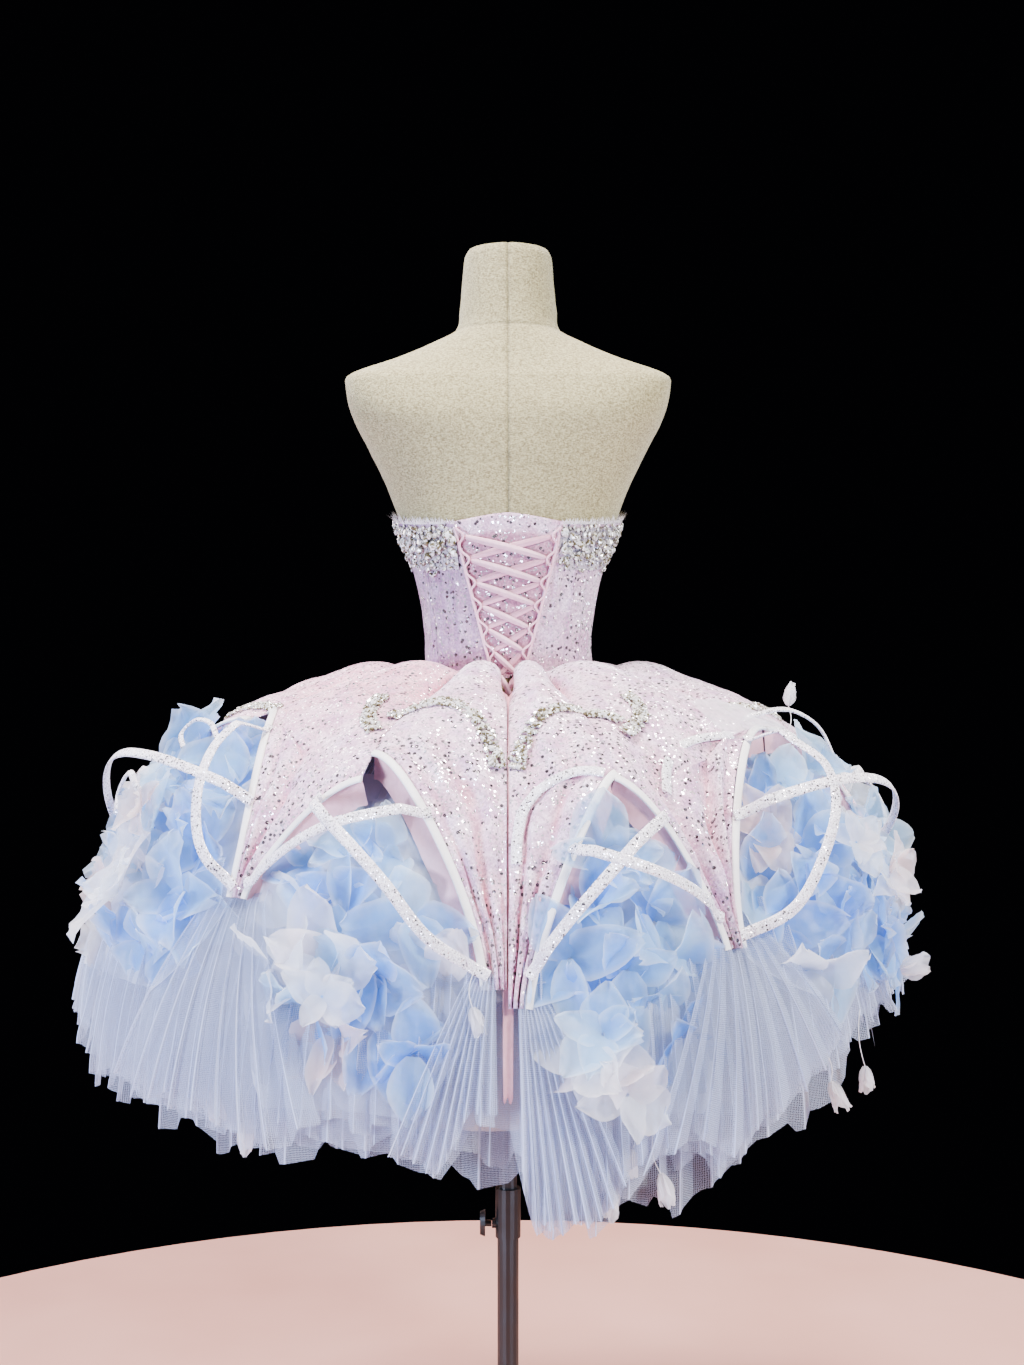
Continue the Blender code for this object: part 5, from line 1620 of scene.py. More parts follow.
@dataclass
class Petal:
    """Glitter petal: gathered at the waist, folded towards its tip, with a satin binding."""

    finishes: Finishes
    index: int

    @property
    def name(self) -> str:
        """Name of the petal's node."""
        return PETALS[self.index][0]

    def _places(self, columns: int) -> tuple[np.ndarray, np.ndarray, np.ndarray]:
        """Angle, run and share across for the petal's grid."""
        first, last = edge_path(self.index, "first"), edge_path(self.index, "last")
        share = np.linspace(0.0, 1.0, columns)[None, :]
        blend = share * share * (3.0 - 2.0 * share)
        angle = first[:, :1] + (last[:, :1] - first[:, :1]) * share
        run = first[:, 1:] + (last[:, 1:] - first[:, 1:]) * blend
        return angle, run, np.broadcast_to(share, angle.shape)

    def _folds(self, angle: np.ndarray, run: np.ndarray,
               share: np.ndarray) -> tuple[np.ndarray, np.ndarray]:
        """Height of the gathers and folds, and how deep a place lies in a fold, which sets the
        painted fold shade and hump highlight.
        """
        inside = np.sin(np.pi * share) ** 0.6
        seed = 60 + self.index
        gather = np.exp(-((run - 0.012) / 0.045) ** 2) * waves(angle / 2.1, run / 0.09, seed, 3)
        fan = np.sin(TAU * (2.6 * share + 0.25 * waves(share * 1.5, run / 0.16, seed + 20, 2))
                     + seed)
        fan = np.sign(fan) * np.abs(fan) ** 0.8
        tip = ease(run, 0.16, PETALS[self.index][4])
        soft = waves(share * 1.6, run / 0.11, seed + 40, 4)
        height = 0.0011 * gather * ease(run, 0.0, 0.012) + inside * (
            0.0062 * tip * fan + 0.0034 * soft * ease(run, 0.03, 0.15))
        aside = np.minimum(share, 1.0 - share)
        hump = np.exp(-((run - 0.065) / 0.040) ** 2) * np.sin(np.pi * share) ** 0.8
        valley = np.exp(-((run - 0.06) / 0.07) ** 2) * np.exp(-(aside / 0.075) ** 2)
        height = height + 0.0100 * hump - 0.0085 * valley
        if self.index == 7:
            height = height + 0.0075 * inside * tip * fan
        # Depth for the painted shade: deep in folds and valleys, negative on the humps for a
        # painted highlight.
        depth = (ease(-fan, -0.1, 0.9) * tip * inside + 0.4 * ease(-soft, 0.1, 0.8) * inside
                 + 1.5 * valley - 0.5 * hump)
        return height, np.clip(depth, -0.3, 1.2)

    def cloth(self) -> None:
        """The petal's glitter cloth, painted salmon shade where it folds in, darker at the waist
        and whiter on the humps.
        """
        angle, run, share = self._places(46)
        height, depth = self._folds(angle, run, share)
        # Painted shade and highlight: places deep in a fold are drawn salmon, the humps' tops
        # lighter.
        salmon = np.array([0.92, 0.58, 0.60])
        waist = np.exp(-(run / 0.03) ** 2)[..., None]
        tint = 1.0 + (salmon - 1.0) * np.clip(depth * 1.05, -0.2, 1.2)[..., None]
        # Painted shade: darker in the gathered crease at the waist seam.
        tint = tint * (1.0 + (np.array([0.66, 0.44, 0.58]) - 1.0) * waist)
        lilac = ease(waves(angle / 9.0, run / 0.06, 45 + self.index, 3), -0.1, 0.8)[..., None]
        tint = tint * (1.0 - lilac * np.array([0.16, 0.22, 0.08]))
        # Painted light: a salmon-pink glow on the two petals on the +X side, as if lit by pink
        # light.
        if self.index in (1, 2):
            glow = np.exp(-((run - 0.10) / 0.13) ** 2)[..., None]
            tint = tint * (1.0 + (np.array([1.06, 0.74, 0.74]) - 1.0) * glow)
        metres = arc_metres(angle, run)
        sheet = MeshBuffer()
        sheet.grid(skin(angle, run, height), np.stack([angle * metres, run], axis=-1), tint)
        piece = place(sheet.build(self.name + "_cloth", self.finishes.glitter, 0.0011),
                      Slot.GLITTER, (self.name,))

    def binding(self) -> None:
        """Folded satin tape along the petal's curved edge, rounded over its filler cord."""
        name = self.name.replace("petal", "binding")
        tape = MeshBuffer()
        turn = np.linspace(0.0, TAU, 13)[:-1]
        across = 0.5 + 0.5 * np.sign(np.cos(turn)) * np.abs(np.cos(turn)) ** 0.7
        up = np.sign(np.sin(turn)) * np.abs(np.sin(turn)) ** 0.8
        for path in arch_border(self.index):
            rings = []
            wide = BINDING_WIDTH * (1.0 + 0.05 * waves(path[:, 1] / 0.03,
                                                       path[:, 0] * 0, 70, 2))
            for k in range(len(turn)):
                beside = moved_aside(path, -SEAM_GAP - across[k] * wide.mean())
                rings.append(skin(beside[:, 0], beside[:, 1], 0.0012 + 0.0019 * up[k]))
            grid = np.stack(rings, axis=1)
            sparkle = ease(path[:, 1], PETALS[self.index][4] - 0.12, PETALS[self.index][4])
            tint = 1.0 - 0.05 * sparkle[:, None, None] * np.ones((1, grid.shape[1], 3))
            tape.grid(grid, None, tint, ring=True, caps=True)
        place(tape.build(name + "_tape", self.finishes.white_satin), Slot.BINDING, (name,))

    def facing(self) -> None:
        """Salmon satin facing that turns in behind the binding."""
        cloth = MeshBuffer()
        for path in arch_border(self.index):
            rows = []
            for t in np.linspace(0.0, 1.0, 8):
                beside = moved_aside(path, -SEAM_GAP - 0.0040 - 0.0150 * t)
                crumple = 0.0016 * waves(path[:, 1] / 0.018, path[:, 0] * 0 + t, 75, 3)
                rows.append(skin(beside[:, 0], beside[:, 1],
                                 -0.0010 - 0.0210 * t ** 0.8 + crumple * t))
            grid = np.stack(rows, axis=1)
            # Painted shade: the facing is drawn darker the further it turns in behind the
            # binding.
            shade = np.linspace(1.0, 0.80, 8)[None, :, None] * np.ones((len(path), 1, 1))
            cloth.grid(grid, None, shade * np.array([1.02, 0.92, 0.86]))
        piece = place(cloth.build(self.name + "_facing", self.finishes.pink_satin),
                      Slot.RIBBON)

    def build(self) -> None:
        """Make the cloth, the binding and the facing."""
        self.cloth()
        self.binding()
        self.facing()


@dataclass
class Bands:
    """Glitter tape over cord, crossing each arch and lying along two petals."""

    finishes: Finishes
    samples: int = 70

    @staticmethod
    def lift(angle: np.ndarray, from_end: np.ndarray, seat: float, rise: float) -> np.ndarray:
        """Height off the skirt: seated at the ends, bowed out over the arch."""
        over_arch = np.sin(np.pi * share_between(angle, COLUMN_ANGLES))
        clear = np.clip((from_end - BINDING_WIDTH) / BAND_RAMP, 0.0, 1.0)
        return seat + rise * over_arch * clear

    def arch(self, name: str, seat: float, rise: float, bands: Sequence) -> None:
        """The two bands of one arch."""
        tape = MeshBuffer()
        for number, (start, between, end) in enumerate(bands):
            controls = [(float(border(*start)), start[2]), *between,
                        (float(border(*end)), end[2])]
            path = smooth_path(controls, self.samples)
            ends = skin(path[0, 0], path[0, 1]), skin(path[-1, 0], path[-1, 1])
            flat = skin(path[:, 0], path[:, 1])
            from_end = np.minimum(*(np.linalg.norm(flat - spot, axis=-1) for spot in ends))
            out = self.lift(path[:, 0], from_end, seat, rise)
            middle = skin(path[:, 0], path[:, 1], out)
            normals = skin_normal(path[:, 0], path[:, 1])
            section = round_section(BAND_WIDTH, BAND_THICK + 0.0006, 0.0009 * number, 12)
            tape.grid(sweep(middle, normals, section), None, ring=True, caps=True)
        place(tape.build(name + "_tape", self.finishes.band), Slot.BAND, (name,))

    def hoop(self, name: str, places: Sequence) -> None:
        """A band lying on a petal's face."""
        path = smooth_path(places, self.samples)
        section = round_section(BAND_WIDTH, BAND_THICK + 0.0006, 0.0012, 12)
        rings = []
        for sideways, up in section:
            beside = moved_aside(path, sideways)
            rings.append(skin(beside[:, 0], beside[:, 1], up))
        tape = MeshBuffer()
        tape.grid(np.stack(rings, axis=1), None, ring=True, caps=True)
        place(tape.build(name + "_tape", self.finishes.band), Slot.BAND, (name,))

    def build(self) -> None:
        """Make every band and hoop."""
        for bands in BANDS:
            self.arch(*bands)
        for hoop in HOOPS:
            self.hoop(*hoop)


# Crystal garlands on the petals' faces: places (angle, run).
GARLANDS = (
    ((24.0, 0.225), (21.0, 0.208), (16.0, 0.200), (11.0, 0.205), (6.5, 0.226), (3.2, 0.262),
     (1.8, 0.300)),
    ((358.6, 0.300), (357.0, 0.262), (353.0, 0.224), (347.0, 0.211), (341.0, 0.220),
     (338.0, 0.235)),
    ((331.0, 0.178), (332.0, 0.218), (339.0, 0.262)),
    ((31.0, 0.178), (29.0, 0.222), (24.5, 0.258)),
    ((62.0, 0.200), (72.0, 0.212), (85.0, 0.230), (98.0, 0.215), (108.0, 0.200)),
    ((155.0, 0.205), (167.0, 0.215), (180.0, 0.240), (193.0, 0.215), (204.0, 0.205)),
    ((252.0, 0.200), (265.0, 0.215), (279.0, 0.232), (292.0, 0.215), (303.0, 0.200)),
)


@dataclass
class Garlands:
    """Narrow rows of small stones that curve over the petals."""

    finishes: Finishes

    def build(self) -> None:
        """Set three uneven rows of stones along each garland."""
        gems = Gems(211)
        random = gems.random
        for places in GARLANDS:
            fine = smooth_path(places, 200)
            points = skin(fine[:, 0], fine[:, 1])
            length = float(np.sum(np.linalg.norm(np.diff(points, axis=0), axis=-1)))
            for row in (-1.5, -0.5, 0.5, 1.5):
                beside = moved_aside(fine, row * 0.0044)
                at = random.uniform(0.0, 0.004)
                while at < length:
                    k = int(at / length * 200)
                    angle, run = beside[k] + random.normal(0.0, (0.12, 0.0008))
                    size = random.uniform(0.0040, 0.0084) * (1.1 if abs(row) < 1.0 else 0.8)
                    spot = skin(angle, run, 0.0022)
                    along = fine[min(k + 1, 200)] - fine[max(k - 1, 0)]
                    ahead = skin(angle + along[0], run + along[1]) - skin(angle, run)
                    gems.add(spot, skin_normal(np.array(angle), np.array(run)),
                             ahead / max(float(np.linalg.norm(ahead)), 1e-9), size,
                             1.5 if random.uniform() < 0.3 else 1.0)
                    at += size * random.uniform(0.75, 1.15)
        gems.build("crystal_garlands", self.finishes)


# ---- flowers --------------------------------------------------------------------------------
SKY = ((0.20, 0.52, 1.0), (0.32, 0.64, 1.0), (0.14, 0.44, 1.0), (0.45, 0.74, 1.0))
PALE = ((0.86, 0.91, 1.0), (0.97, 0.90, 0.94), (0.92, 0.95, 1.0))
PEACH = ((1.0, 0.80, 0.76), (1.0, 0.76, 0.74))


class Blossoms:
    """Adds curled organza petals to a mesh."""

    def __init__(self, seed: int) -> None:
        """Start a bed with its own seed."""
        self.random = np.random.default_rng(seed)
        self.cloth = MeshBuffer()

    def petal(self, foot: np.ndarray, ahead: np.ndarray, up: np.ndarray, length: float,
              width: float, curl: float, cup: float, colour: Sequence[float]) -> None:
        """One petal.

        Args:
            foot: Where it is sewn down.
            ahead: Direction it grows.
            up: Its inner face.
            length: Metres from foot to tip.
            width: Metres across.
            curl: Radians it bends back over its length.
            cup: How far its sides turn up, in radians.
            colour: Linear colour.
        """
        ahead = normalise(ahead)
        up = normalise(up - ahead * np.dot(up, ahead))
        side = np.cross(ahead, up)
        rows, columns = 9, 8
        v = np.linspace(0.0, 1.0, rows)[:, None]
        u = np.linspace(-1.0, 1.0, columns)[None, :]
        phase = self.random.uniform(0.0, TAU, 4)
        outline = np.sin(np.pi * (0.06 + 0.91 * v ** 0.80)) ** 0.7 * (1.0 - 0.22 * v ** 3)
        outline = outline * (1.0 + 0.10 * np.sin(7.0 * v + phase[0]))
        bend = curl * v ** 1.5
        forward = np.concatenate([[0.0], np.cumsum(np.cos(bend[1:, 0]) / (rows - 1))])[:, None]
        rise = -np.concatenate([[0.0], np.cumsum(np.sin(bend[1:, 0]) / (rows - 1))])[:, None]
        reach = width / 2.0 * outline
        turn = cup * u * outline
        across = reach * np.sin(turn) / np.where(np.abs(turn) < 1e-6, 1.0, turn)
        across = np.where(np.abs(turn) < 1e-6, reach, across) * u
        lift = reach * np.abs(u) * np.sin(np.abs(turn)) * 0.9
        ruffle = (0.08 * width * (np.abs(u) ** 2 + 0.4 * v ** 2)
                  * (np.sin(9.0 * v + 3.0 * u + phase[1]) + 0.3 * np.sin(17.0 * v + phase[2])))
        pinch = 0.05 * width * np.sin(4.0 * u + 5.0 * v + phase[3])
        points = (foot + ahead * (forward * length)[..., None] + side * across[..., None]
                  + up * (rise * length + lift + ruffle * v + pinch * v)[..., None])
        # Painted light: the petal's rim is drawn whiter as a highlight, and its foot darker as
        # shade between the petals.
        edge = np.clip(np.abs(u) ** 6 + v ** 8, 0.0, 1.0)[..., None]
        tone = np.array(colour)
        tint = tone + (1.0 - tone) * 0.55 * edge
        tint = tint * (1.0 - 0.12 * (1.0 - v[..., None]) ** 2)
        self.cloth.grid(points, None, tint)

    def blossom(self, centre: np.ndarray, out: np.ndarray, size: float, count: int,
                colours: Sequence[Sequence[float]], closed: float = 0.0) -> None:
        """A ring of petals round a centre.

        Args:
            centre: Its middle.
            out: Direction it faces.
            size: Metres across when open.
            count: Number of petals.
            colours: Linear colours to pick from.
            closed: 0 is wide open, 1 a bud.
        """
        out = normalise(out + self.random.normal(0.0, 0.22, 3))
        first = normalise(np.cross(out, [0.13, 0.2, 0.97]))
        second = np.cross(out, first)
        start = self.random.uniform(0.0, TAU)
        for k in range(count):
            turn = start + TAU * k / count + self.random.normal(0.0, 0.25)
            layer = k % 2
            spread = (1.05 - 0.25 * layer) * (1.0 - closed) + self.random.normal(0.0, 0.10)
            flat = first * math.cos(turn) + second * math.sin(turn)
            ahead = flat * math.sin(spread * 1.35 + 0.12) + out * math.cos(spread * 1.35 + 0.12)
            length = size / 2.0 * self.random.uniform(0.9, 1.35)
            colour = colours[self.random.integers(len(colours))]
            self.petal(centre + flat * size * 0.02, ahead, out - flat * 0.4, length,
                       length * self.random.uniform(0.70, 1.05),
                       self.random.uniform(0.0, 0.6) * (1.0 - closed),
                       self.random.uniform(0.15, 0.55) + closed * 0.6, colour)


# Blossoms seen in the photo: bed, angle, run, off the skirt, size, petals, colours, closed.
SHOWN = (
    (7, 351.0, 0.600, 0.002, 0.095, 7, PALE, 0.0),
    (7, 346.5, 0.630, 0.002, 0.080, 6, PALE, 0.1),
    (7, 349.0, 0.575, 0.006, 0.080, 6, SKY, 0.1),
    (1, 58.0, 0.470, 0.002, 0.100, 9, PALE, 0.25),
    (1, 60.5, 0.385, 0.004, 0.070, 6, PEACH, 0.1),
    (0, 21.5, 0.545, 0.008, 0.065, 6, PALE, 0.0),
    (6, 307.0, 0.420, 0.008, 0.060, 6, PALE, 0.1),
    (6, 301.0, 0.465, 0.004, 0.070, 6, PALE, 0.1),
    (6, 296.0, 0.455, 0.002, 0.075, 6, PEACH, 0.2),
    (6, 303.0, 0.550, 0.008, 0.055, 4, PALE, 0.8),
)


@dataclass
class FlowerBed:
    """Organza blossoms sewn to a net ground inside one arch."""

    finishes: Finishes
    index: int

    def _region(self) -> tuple[np.ndarray, np.ndarray]:
        """Left and right edges of the bed as (angle, run) rows, from its top to its foot.

        Returns:
            The left and the right edge.
        """
        _, before, after, lowest = FLOWER_BEDS[self.index]
        aside = SEAM_GAP + BINDING_WIDTH + SEAM_GAP
        left = moved_aside(edge_path(before, "last", 1, 26)[1:], aside)[1:]
        right = moved_aside(edge_path(after, "first", 1, 26)[1:], -aside)[1:]
        narrowing = (right[-1, 0] - left[-1, 0]) / 2.0 * 0.42
        share = np.linspace(0.0, 1.0, 10)[1:, None]
        tail_left = np.concatenate([left[-1, 0] + narrowing * share ** 1.5,
                                    left[-1, 1] + (lowest - left[-1, 1]) * share], axis=1)
        tail_right = np.concatenate([right[-1, 0] - narrowing * share ** 1.5,
                                     right[-1, 1] + (lowest - right[-1, 1]) * share], axis=1)
        return np.concatenate([left, tail_left]), np.concatenate([right, tail_right])

    def build(self) -> None:
        """Make the ground and the blossoms."""
        name = FLOWER_BEDS[self.index][0]
        left, right = self._region()
        if right[0, 0] < left[0, 0] - 180.0:
            right[:, 0] += 360.0
        share = np.linspace(0.0, 1.0, 24)[None, :]
        far_left = np.concatenate([left[:1] - [[5.0, 0.050]], left])
        far_right = np.concatenate([right[:1] + [[5.0, -0.050]], right])
        fade = np.linspace(1.0, 0.0, len(far_left))[:, None] ** 1.5
        far_left[:, :1] -= 4.0 * fade
        far_right[:, :1] += 4.0 * fade
        angle = far_left[:, :1] + (far_right[:, :1] - far_left[:, :1]) * share
        run = far_left[:, 1:] + (far_right[:, 1:] - far_left[:, 1:]) * share
        ground = MeshBuffer()
        middle = np.sin(np.pi * share) ** 0.5
        puff = 0.004 * waves(angle / 5.0, run / 0.04, 300 + self.index, 3) - 0.004
        puff = puff - 0.026 * middle - 0.012 * fade
        down = np.linspace(0.0, 1.0, len(angle))[:, None, None]
        # Painted glow: the ground is drawn peach at the bed's top, fading to its own cool colour
        # lower down.
        peach, cool = np.array([0.98, 0.80, 0.82]), np.array([0.80, 0.86, 1.0])
        glow = peach + (cool - peach) * ease(down, 0.05, 0.35)
        ground.grid(skin(angle, run, puff), None, glow * np.ones((1, 24, 1)))
        piece = place(ground.build(name + "_ground", self.finishes.ground), Slot.FLOWER,
                      (name,))

        bed = Blossoms(400 + self.index)
        random = bed.random
        rows = len(left)
        spots: list[np.ndarray] = []
        highest = 12.5 if self.index in (0, 7) else 9.0
        for _ in range(700):
            row = random.uniform(highest, rows - 4.5)
            across = random.uniform(0.10, 0.90)
            k = int(row)
            here = left[k] + (right[k] - left[k]) * across
            inside = math.sin(math.pi * across)
            point = skin(here[0], here[1], -0.018 - 0.018 * inside
                         + random.uniform(-0.004, 0.010))
            if all(np.linalg.norm(point - spot) > 0.042 for spot in spots):
                spots.append(point)
                out = skin_normal(np.array(here[0]), np.array(here[1]))
                low = float(ease(row / rows, 0.35, 1.0))
                pick = random.uniform()
                colours = SKY if pick < 0.82 else (PALE if pick < 0.94 else PEACH)
                bed.blossom(point, out + np.array([0.0, 0.0, -0.55 * low]),
                            random.uniform(0.075, 0.120), random.integers(4, 7), colours,
                            random.uniform(0.0, 0.22))
                if random.uniform() < 0.60:
                    bed.petal(point + out * 0.010, np.array([0.0, 0.0, -1.0]) + out * 0.12
                              + random.normal(0.0, 0.22, 3), out, random.uniform(0.05, 0.09),
                              random.uniform(0.026, 0.046), 0.3, 0.6,
                              colours[random.integers(len(colours))])
        for number, angle_at, run_at, off, size, count, colours, closed in SHOWN:
            if number == self.index:
                point = skin(angle_at, run_at, off)
                out = skin_normal(np.array(angle_at), np.array(run_at))
                bed.blossom(point, out, size, count, colours, closed)
        piece = place(bed.cloth.build(name + "_blossoms", self.finishes.flower, crease=80.0),
                      Slot.FLOWER)
        LOG.info("%s: %d blossoms", name, len(spots))


# ---- net and slip ---------------------------------------------------------------------------
@dataclass
class NetSkirt:
    """Gathered net layers with sharp pleats and raw handkerchief corners."""

    finishes: Finishes

    @staticmethod
    def run_at(height: np.ndarray) -> np.ndarray:
        """Run down the net at which it reaches a height.

        Args:
            height: Metres above the floor.

        Returns:
            Metres down the net.
        """
        runs = np.linspace(0.0, NET.place[-1], 400)
        heights = NET.at(runs)[:, 2]
        return np.interp(-height, -heights, runs)

    def layer(self, name: str, node: str, first: float, last: float, pleats: int,
              depth: float, under: tuple[float, float], hem: np.ndarray, seed: int,
              start: float = 0.01, dip: float = 0.0) -> bpy.types.Object:
        """One panel of net from first to last angle.

        Args:
            name: Name of the piece.
            node: Solid that it stands for, or empty.
            first: First angle.
            last: Last angle; 360 degrees on closes a ring.
            pleats: Number of pleats.
            depth: Depth of a pleat in metres.
            under: Distance under the outer net at the waist and at the hem.
            hem: Rows of angle and hem height.
            seed: Seed of its unevenness.
            start: Run of its top edge.
            dip: How much lower its top edge hangs at its middle.

        Returns:
            The piece.
        """
        random = np.random.default_rng(seed)
        ring = last - first > 359.0
        widths = random.uniform(0.55, 1.45, pleats)
        marks = np.concatenate([[0.0], np.cumsum(widths)]) / widths.sum()
        sizes = random.uniform(0.45, 1.1, pleats)
        shares, folds, crests, steps = [], [], [], []
        for k in range(pleats):
            step = random.uniform(-0.013, 0.013)
            for t, h in ((0.0, 0.0), (0.45, 0.60), (0.575, 0.90), (0.62, 1.0), (0.66, 0.90),
                         (0.82, 0.40)):
                shares.append(marks[k] + (marks[k + 1] - marks[k]) * t)
                folds.append(h * sizes[k])
                crests.append(float(h == 1.0))
                steps.append(step)
        if not ring:
            shares.append(1.0)
            folds.append(0.0)
            crests.append(1.0)
            steps.append(0.0)
        share, fold = np.array(shares)[None, :], np.array(folds)[None, :]
        angle = first + (last - first) * share
        ripple = np.array(steps)[None, :]
        height = np.interp(angle % 360.0, hem[:, 0], hem[:, 1]) + ripple
        end = self.run_at(height)
        down = np.linspace(0.0, 1.0, 26)[:, None]
        top = start + dip * np.sin(np.pi * share)
        run = top + (end - top) * down
        full = np.clip(run / 0.30, 0.0, 1.0)
        sway = 0.5 * waves(share * pleats / 7.0, run / 0.5, seed + 2, 2) * full
        flare = ease(down, 0.75, 1.0) * 0.006 * waves(share * pleats / 2.2, down, seed + 3, 2)
        lift = -(under[0] + (under[1] - under[0]) * full) - (1.0 - fold) * depth * full + flare
        points = surface(NET, angle + sway * 0.6, run, lift)
        # Painted shade and highlight: the net is drawn darker away from each pleat's crest and
        # full white on it.
        tint = np.ones((*points.shape[:2], 3)) * (0.74 + 0.26 * np.array(crests))[None, :, None]
        cloth = MeshBuffer()
        flat = np.stack([np.broadcast_to(share * np.radians(last - first) * 0.55, run.shape),
                         run], axis=-1)
        cloth.grid(points, flat, tint, ring=ring)
        piece = place(cloth.build(name, self.finishes.net, crease=25.0), Slot.NET,
                      (node,) if node else ())
        return piece

    def build(self) -> None:
        """Make three whole layers and the loose panels between them."""
        hem = np.array(HEM)
        self.layer("net_outer", "tulle_outer", 0.0, 360.0, 84, 0.012, (0.0, 0.0), hem, 501)
        turned_hem = np.stack([hem[:, 0], np.interp((hem[:, 0] + 12.0) % 360.0, hem[:, 0],
                                                    hem[:, 1]) + 0.006], axis=-1)
        self.layer("net_middle", "tulle_middle", 0.0, 360.0, 66, 0.012, (0.002, 0.014),
                   turned_hem, 502)
        under_hem = np.stack([hem[:, 0], np.interp((hem[:, 0] - 9.0) % 360.0, hem[:, 0],
                                                   hem[:, 1]) * 0.6 + 0.4 * 0.66], axis=-1)
        corners = hem.copy()
        corners[:, 1] -= 0.036 * np.exp(-((hem[:, 0] - 72.0) / 15.0) ** 2)
        self.layer("net_under", "tulle_under", 0.0, 360.0, 52, 0.012, (0.004, 0.028),
                   under_hem, 503)
        random = np.random.default_rng(77)
        for k in range(12):
            first = 30.0 * k + random.uniform(-6.0, 6.0)
            last = first + random.uniform(24.0, 38.0)
            angles = np.array([first, first + (last - first) * 0.45, last])
            base = np.interp(angles % 360.0, corners[:, 0], corners[:, 1])
            heights = base + np.array([0.040, -0.014, 0.045])
            order = np.linspace(0.0, 359.9, 361)
            spread = (order - first) % 360.0
            table = np.stack([order, np.interp(spread, angles - first, heights)], axis=-1)
            self.layer(f"net_panel_{k + 1}", "", first, last, 8, 0.009,
                       (0.001, 0.006 + 0.006 * (k % 2)), table, 520 + k, 0.14)
        for k, bed in enumerate(FLOWER_BEDS):
            first, last = PETALS[bed[1]][3], PETALS[bed[2]][3]
            loose = np.stack([hem[:, 0], corners[:, 1] + 0.018], axis=-1)
            high = float(self.run_at(np.array(0.85 if bed[1] in (0, 7) else 0.88)))
            self.layer("net_over_" + bed[0].replace("flowers_", ""), "", first, last, 16,
                       0.010, (-0.016, -0.014), loose, 560 + k, high, 0.07)


@dataclass
class TipVeils:
    """Fans of net that spread from each petal's tip over the flowers' edges."""

    finishes: Finishes

    def build(self) -> None:
        """Make one pleated fan to a tip; the two at the slit start side by side."""
        hem = np.array(HEM)
        for index, petal in enumerate(PETALS):
            random = np.random.default_rng(640 + index)
            tip, tip_run = petal[3], petal[4]
            spread = 6.5 if index in (0, 8) else 17.0
            middle = tip + (6.0 if index == 0 else -6.5 if index == 8 else 0.0)
            folds, shares, crests = [], [], []
            for k in range(9):
                for t, h in ((0.0, 0.0), (0.50, 0.7), (0.58, 0.95), (0.62, 1.0), (0.66, 0.9)):
                    shares.append((k + t) / 9.0)
                    folds.append(h * random.uniform(0.6, 1.1))
                    crests.append(float(h == 1.0))
            share, fold = np.array(shares)[None, :], np.array(folds)[None, :]
            down = np.linspace(0.0, 1.0, 22)[:, None]
            ends = middle + (share - 0.5) * 2.0 * spread
            height = np.interp(ends % 360.0, hem[:, 0], hem[:, 1]) + 0.016
            height = height + np.repeat(random.uniform(-0.010, 0.010, 9), 5)[None, :]
            angle = tip + (ends - tip) * (0.10 + 0.90 * down ** 0.85)
            low = NetSkirt.run_at(height)
            start = surface(DOME, np.full(share.shape, tip), np.full(share.shape,
                                                                   tip_run - 0.030), 0.0)
            first = NetSkirt.run_at(start[..., 2])
            run = first + (low - first) * down
            out = (-0.004 + 0.020 * ease(down, 0.0, 0.22) - 0.008 * down
                   + fold * 0.012 * (0.1 + 0.9 * down))
            points = surface(NET, angle, run, out)
            cloth = MeshBuffer()
            # Painted shade and highlight: the fan is drawn darker away from each pleat's crest
            # and full white on it.
            tint = np.ones((*points.shape[:2], 3)) * (0.74 + 0.26 * np.array(crests)
                                                      )[None, :, None]
            flat = np.stack([np.broadcast_to(share * spread * 0.016, run.shape), run], axis=-1)
            cloth.grid(points, flat, tint)
            name = petal[0].replace("petal", "net_fan")
            piece = place(cloth.build(name, self.finishes.net, crease=25.0), Slot.NET)


# Small buds on wires: bud's foot, where its wire leaves the net, length, leaning and turn.
BUDS = (
    ((-0.0975, 0.432, 0.603), (-0.0950, 0.428, 0.640), 0.030, (0.05, 0.1, -1.0)),
    ((-0.1162, 0.430, 0.638), (-0.1140, 0.426, 0.672), 0.026, (0.25, 0.1, -1.0)),
    ((-0.1425, 0.424, 0.614), (-0.1360, 0.421, 0.650), 0.030, (-0.35, 0.1, -1.0)),
    ((-0.3200, 0.328, 0.678), (-0.3120, 0.322, 0.712), 0.031, (-0.45, 0.1, -1.0)),
    ((-0.3600, 0.296, 0.686), (-0.3560, 0.290, 0.742), 0.028, (-0.10, 0.0, -1.0)),
    ((0.2900, 0.350, 0.672), (0.2850, 0.346, 0.706), 0.030, (-0.30, 0.1, -1.0)),
    ((0.2507, 0.376, 0.652), (0.2460, 0.372, 0.688), 0.032, (0.10, 0.1, -1.0)),
    ((-0.3060, 0.150, 1.048), (-0.3020, 0.160, 1.016), 0.026, (-0.15, 0.1, 1.0)),
    ((0.0330, 0.440, 0.772), (0.0310, 0.436, 0.806), 0.028, (-0.35, 0.1, -1.0)),
)


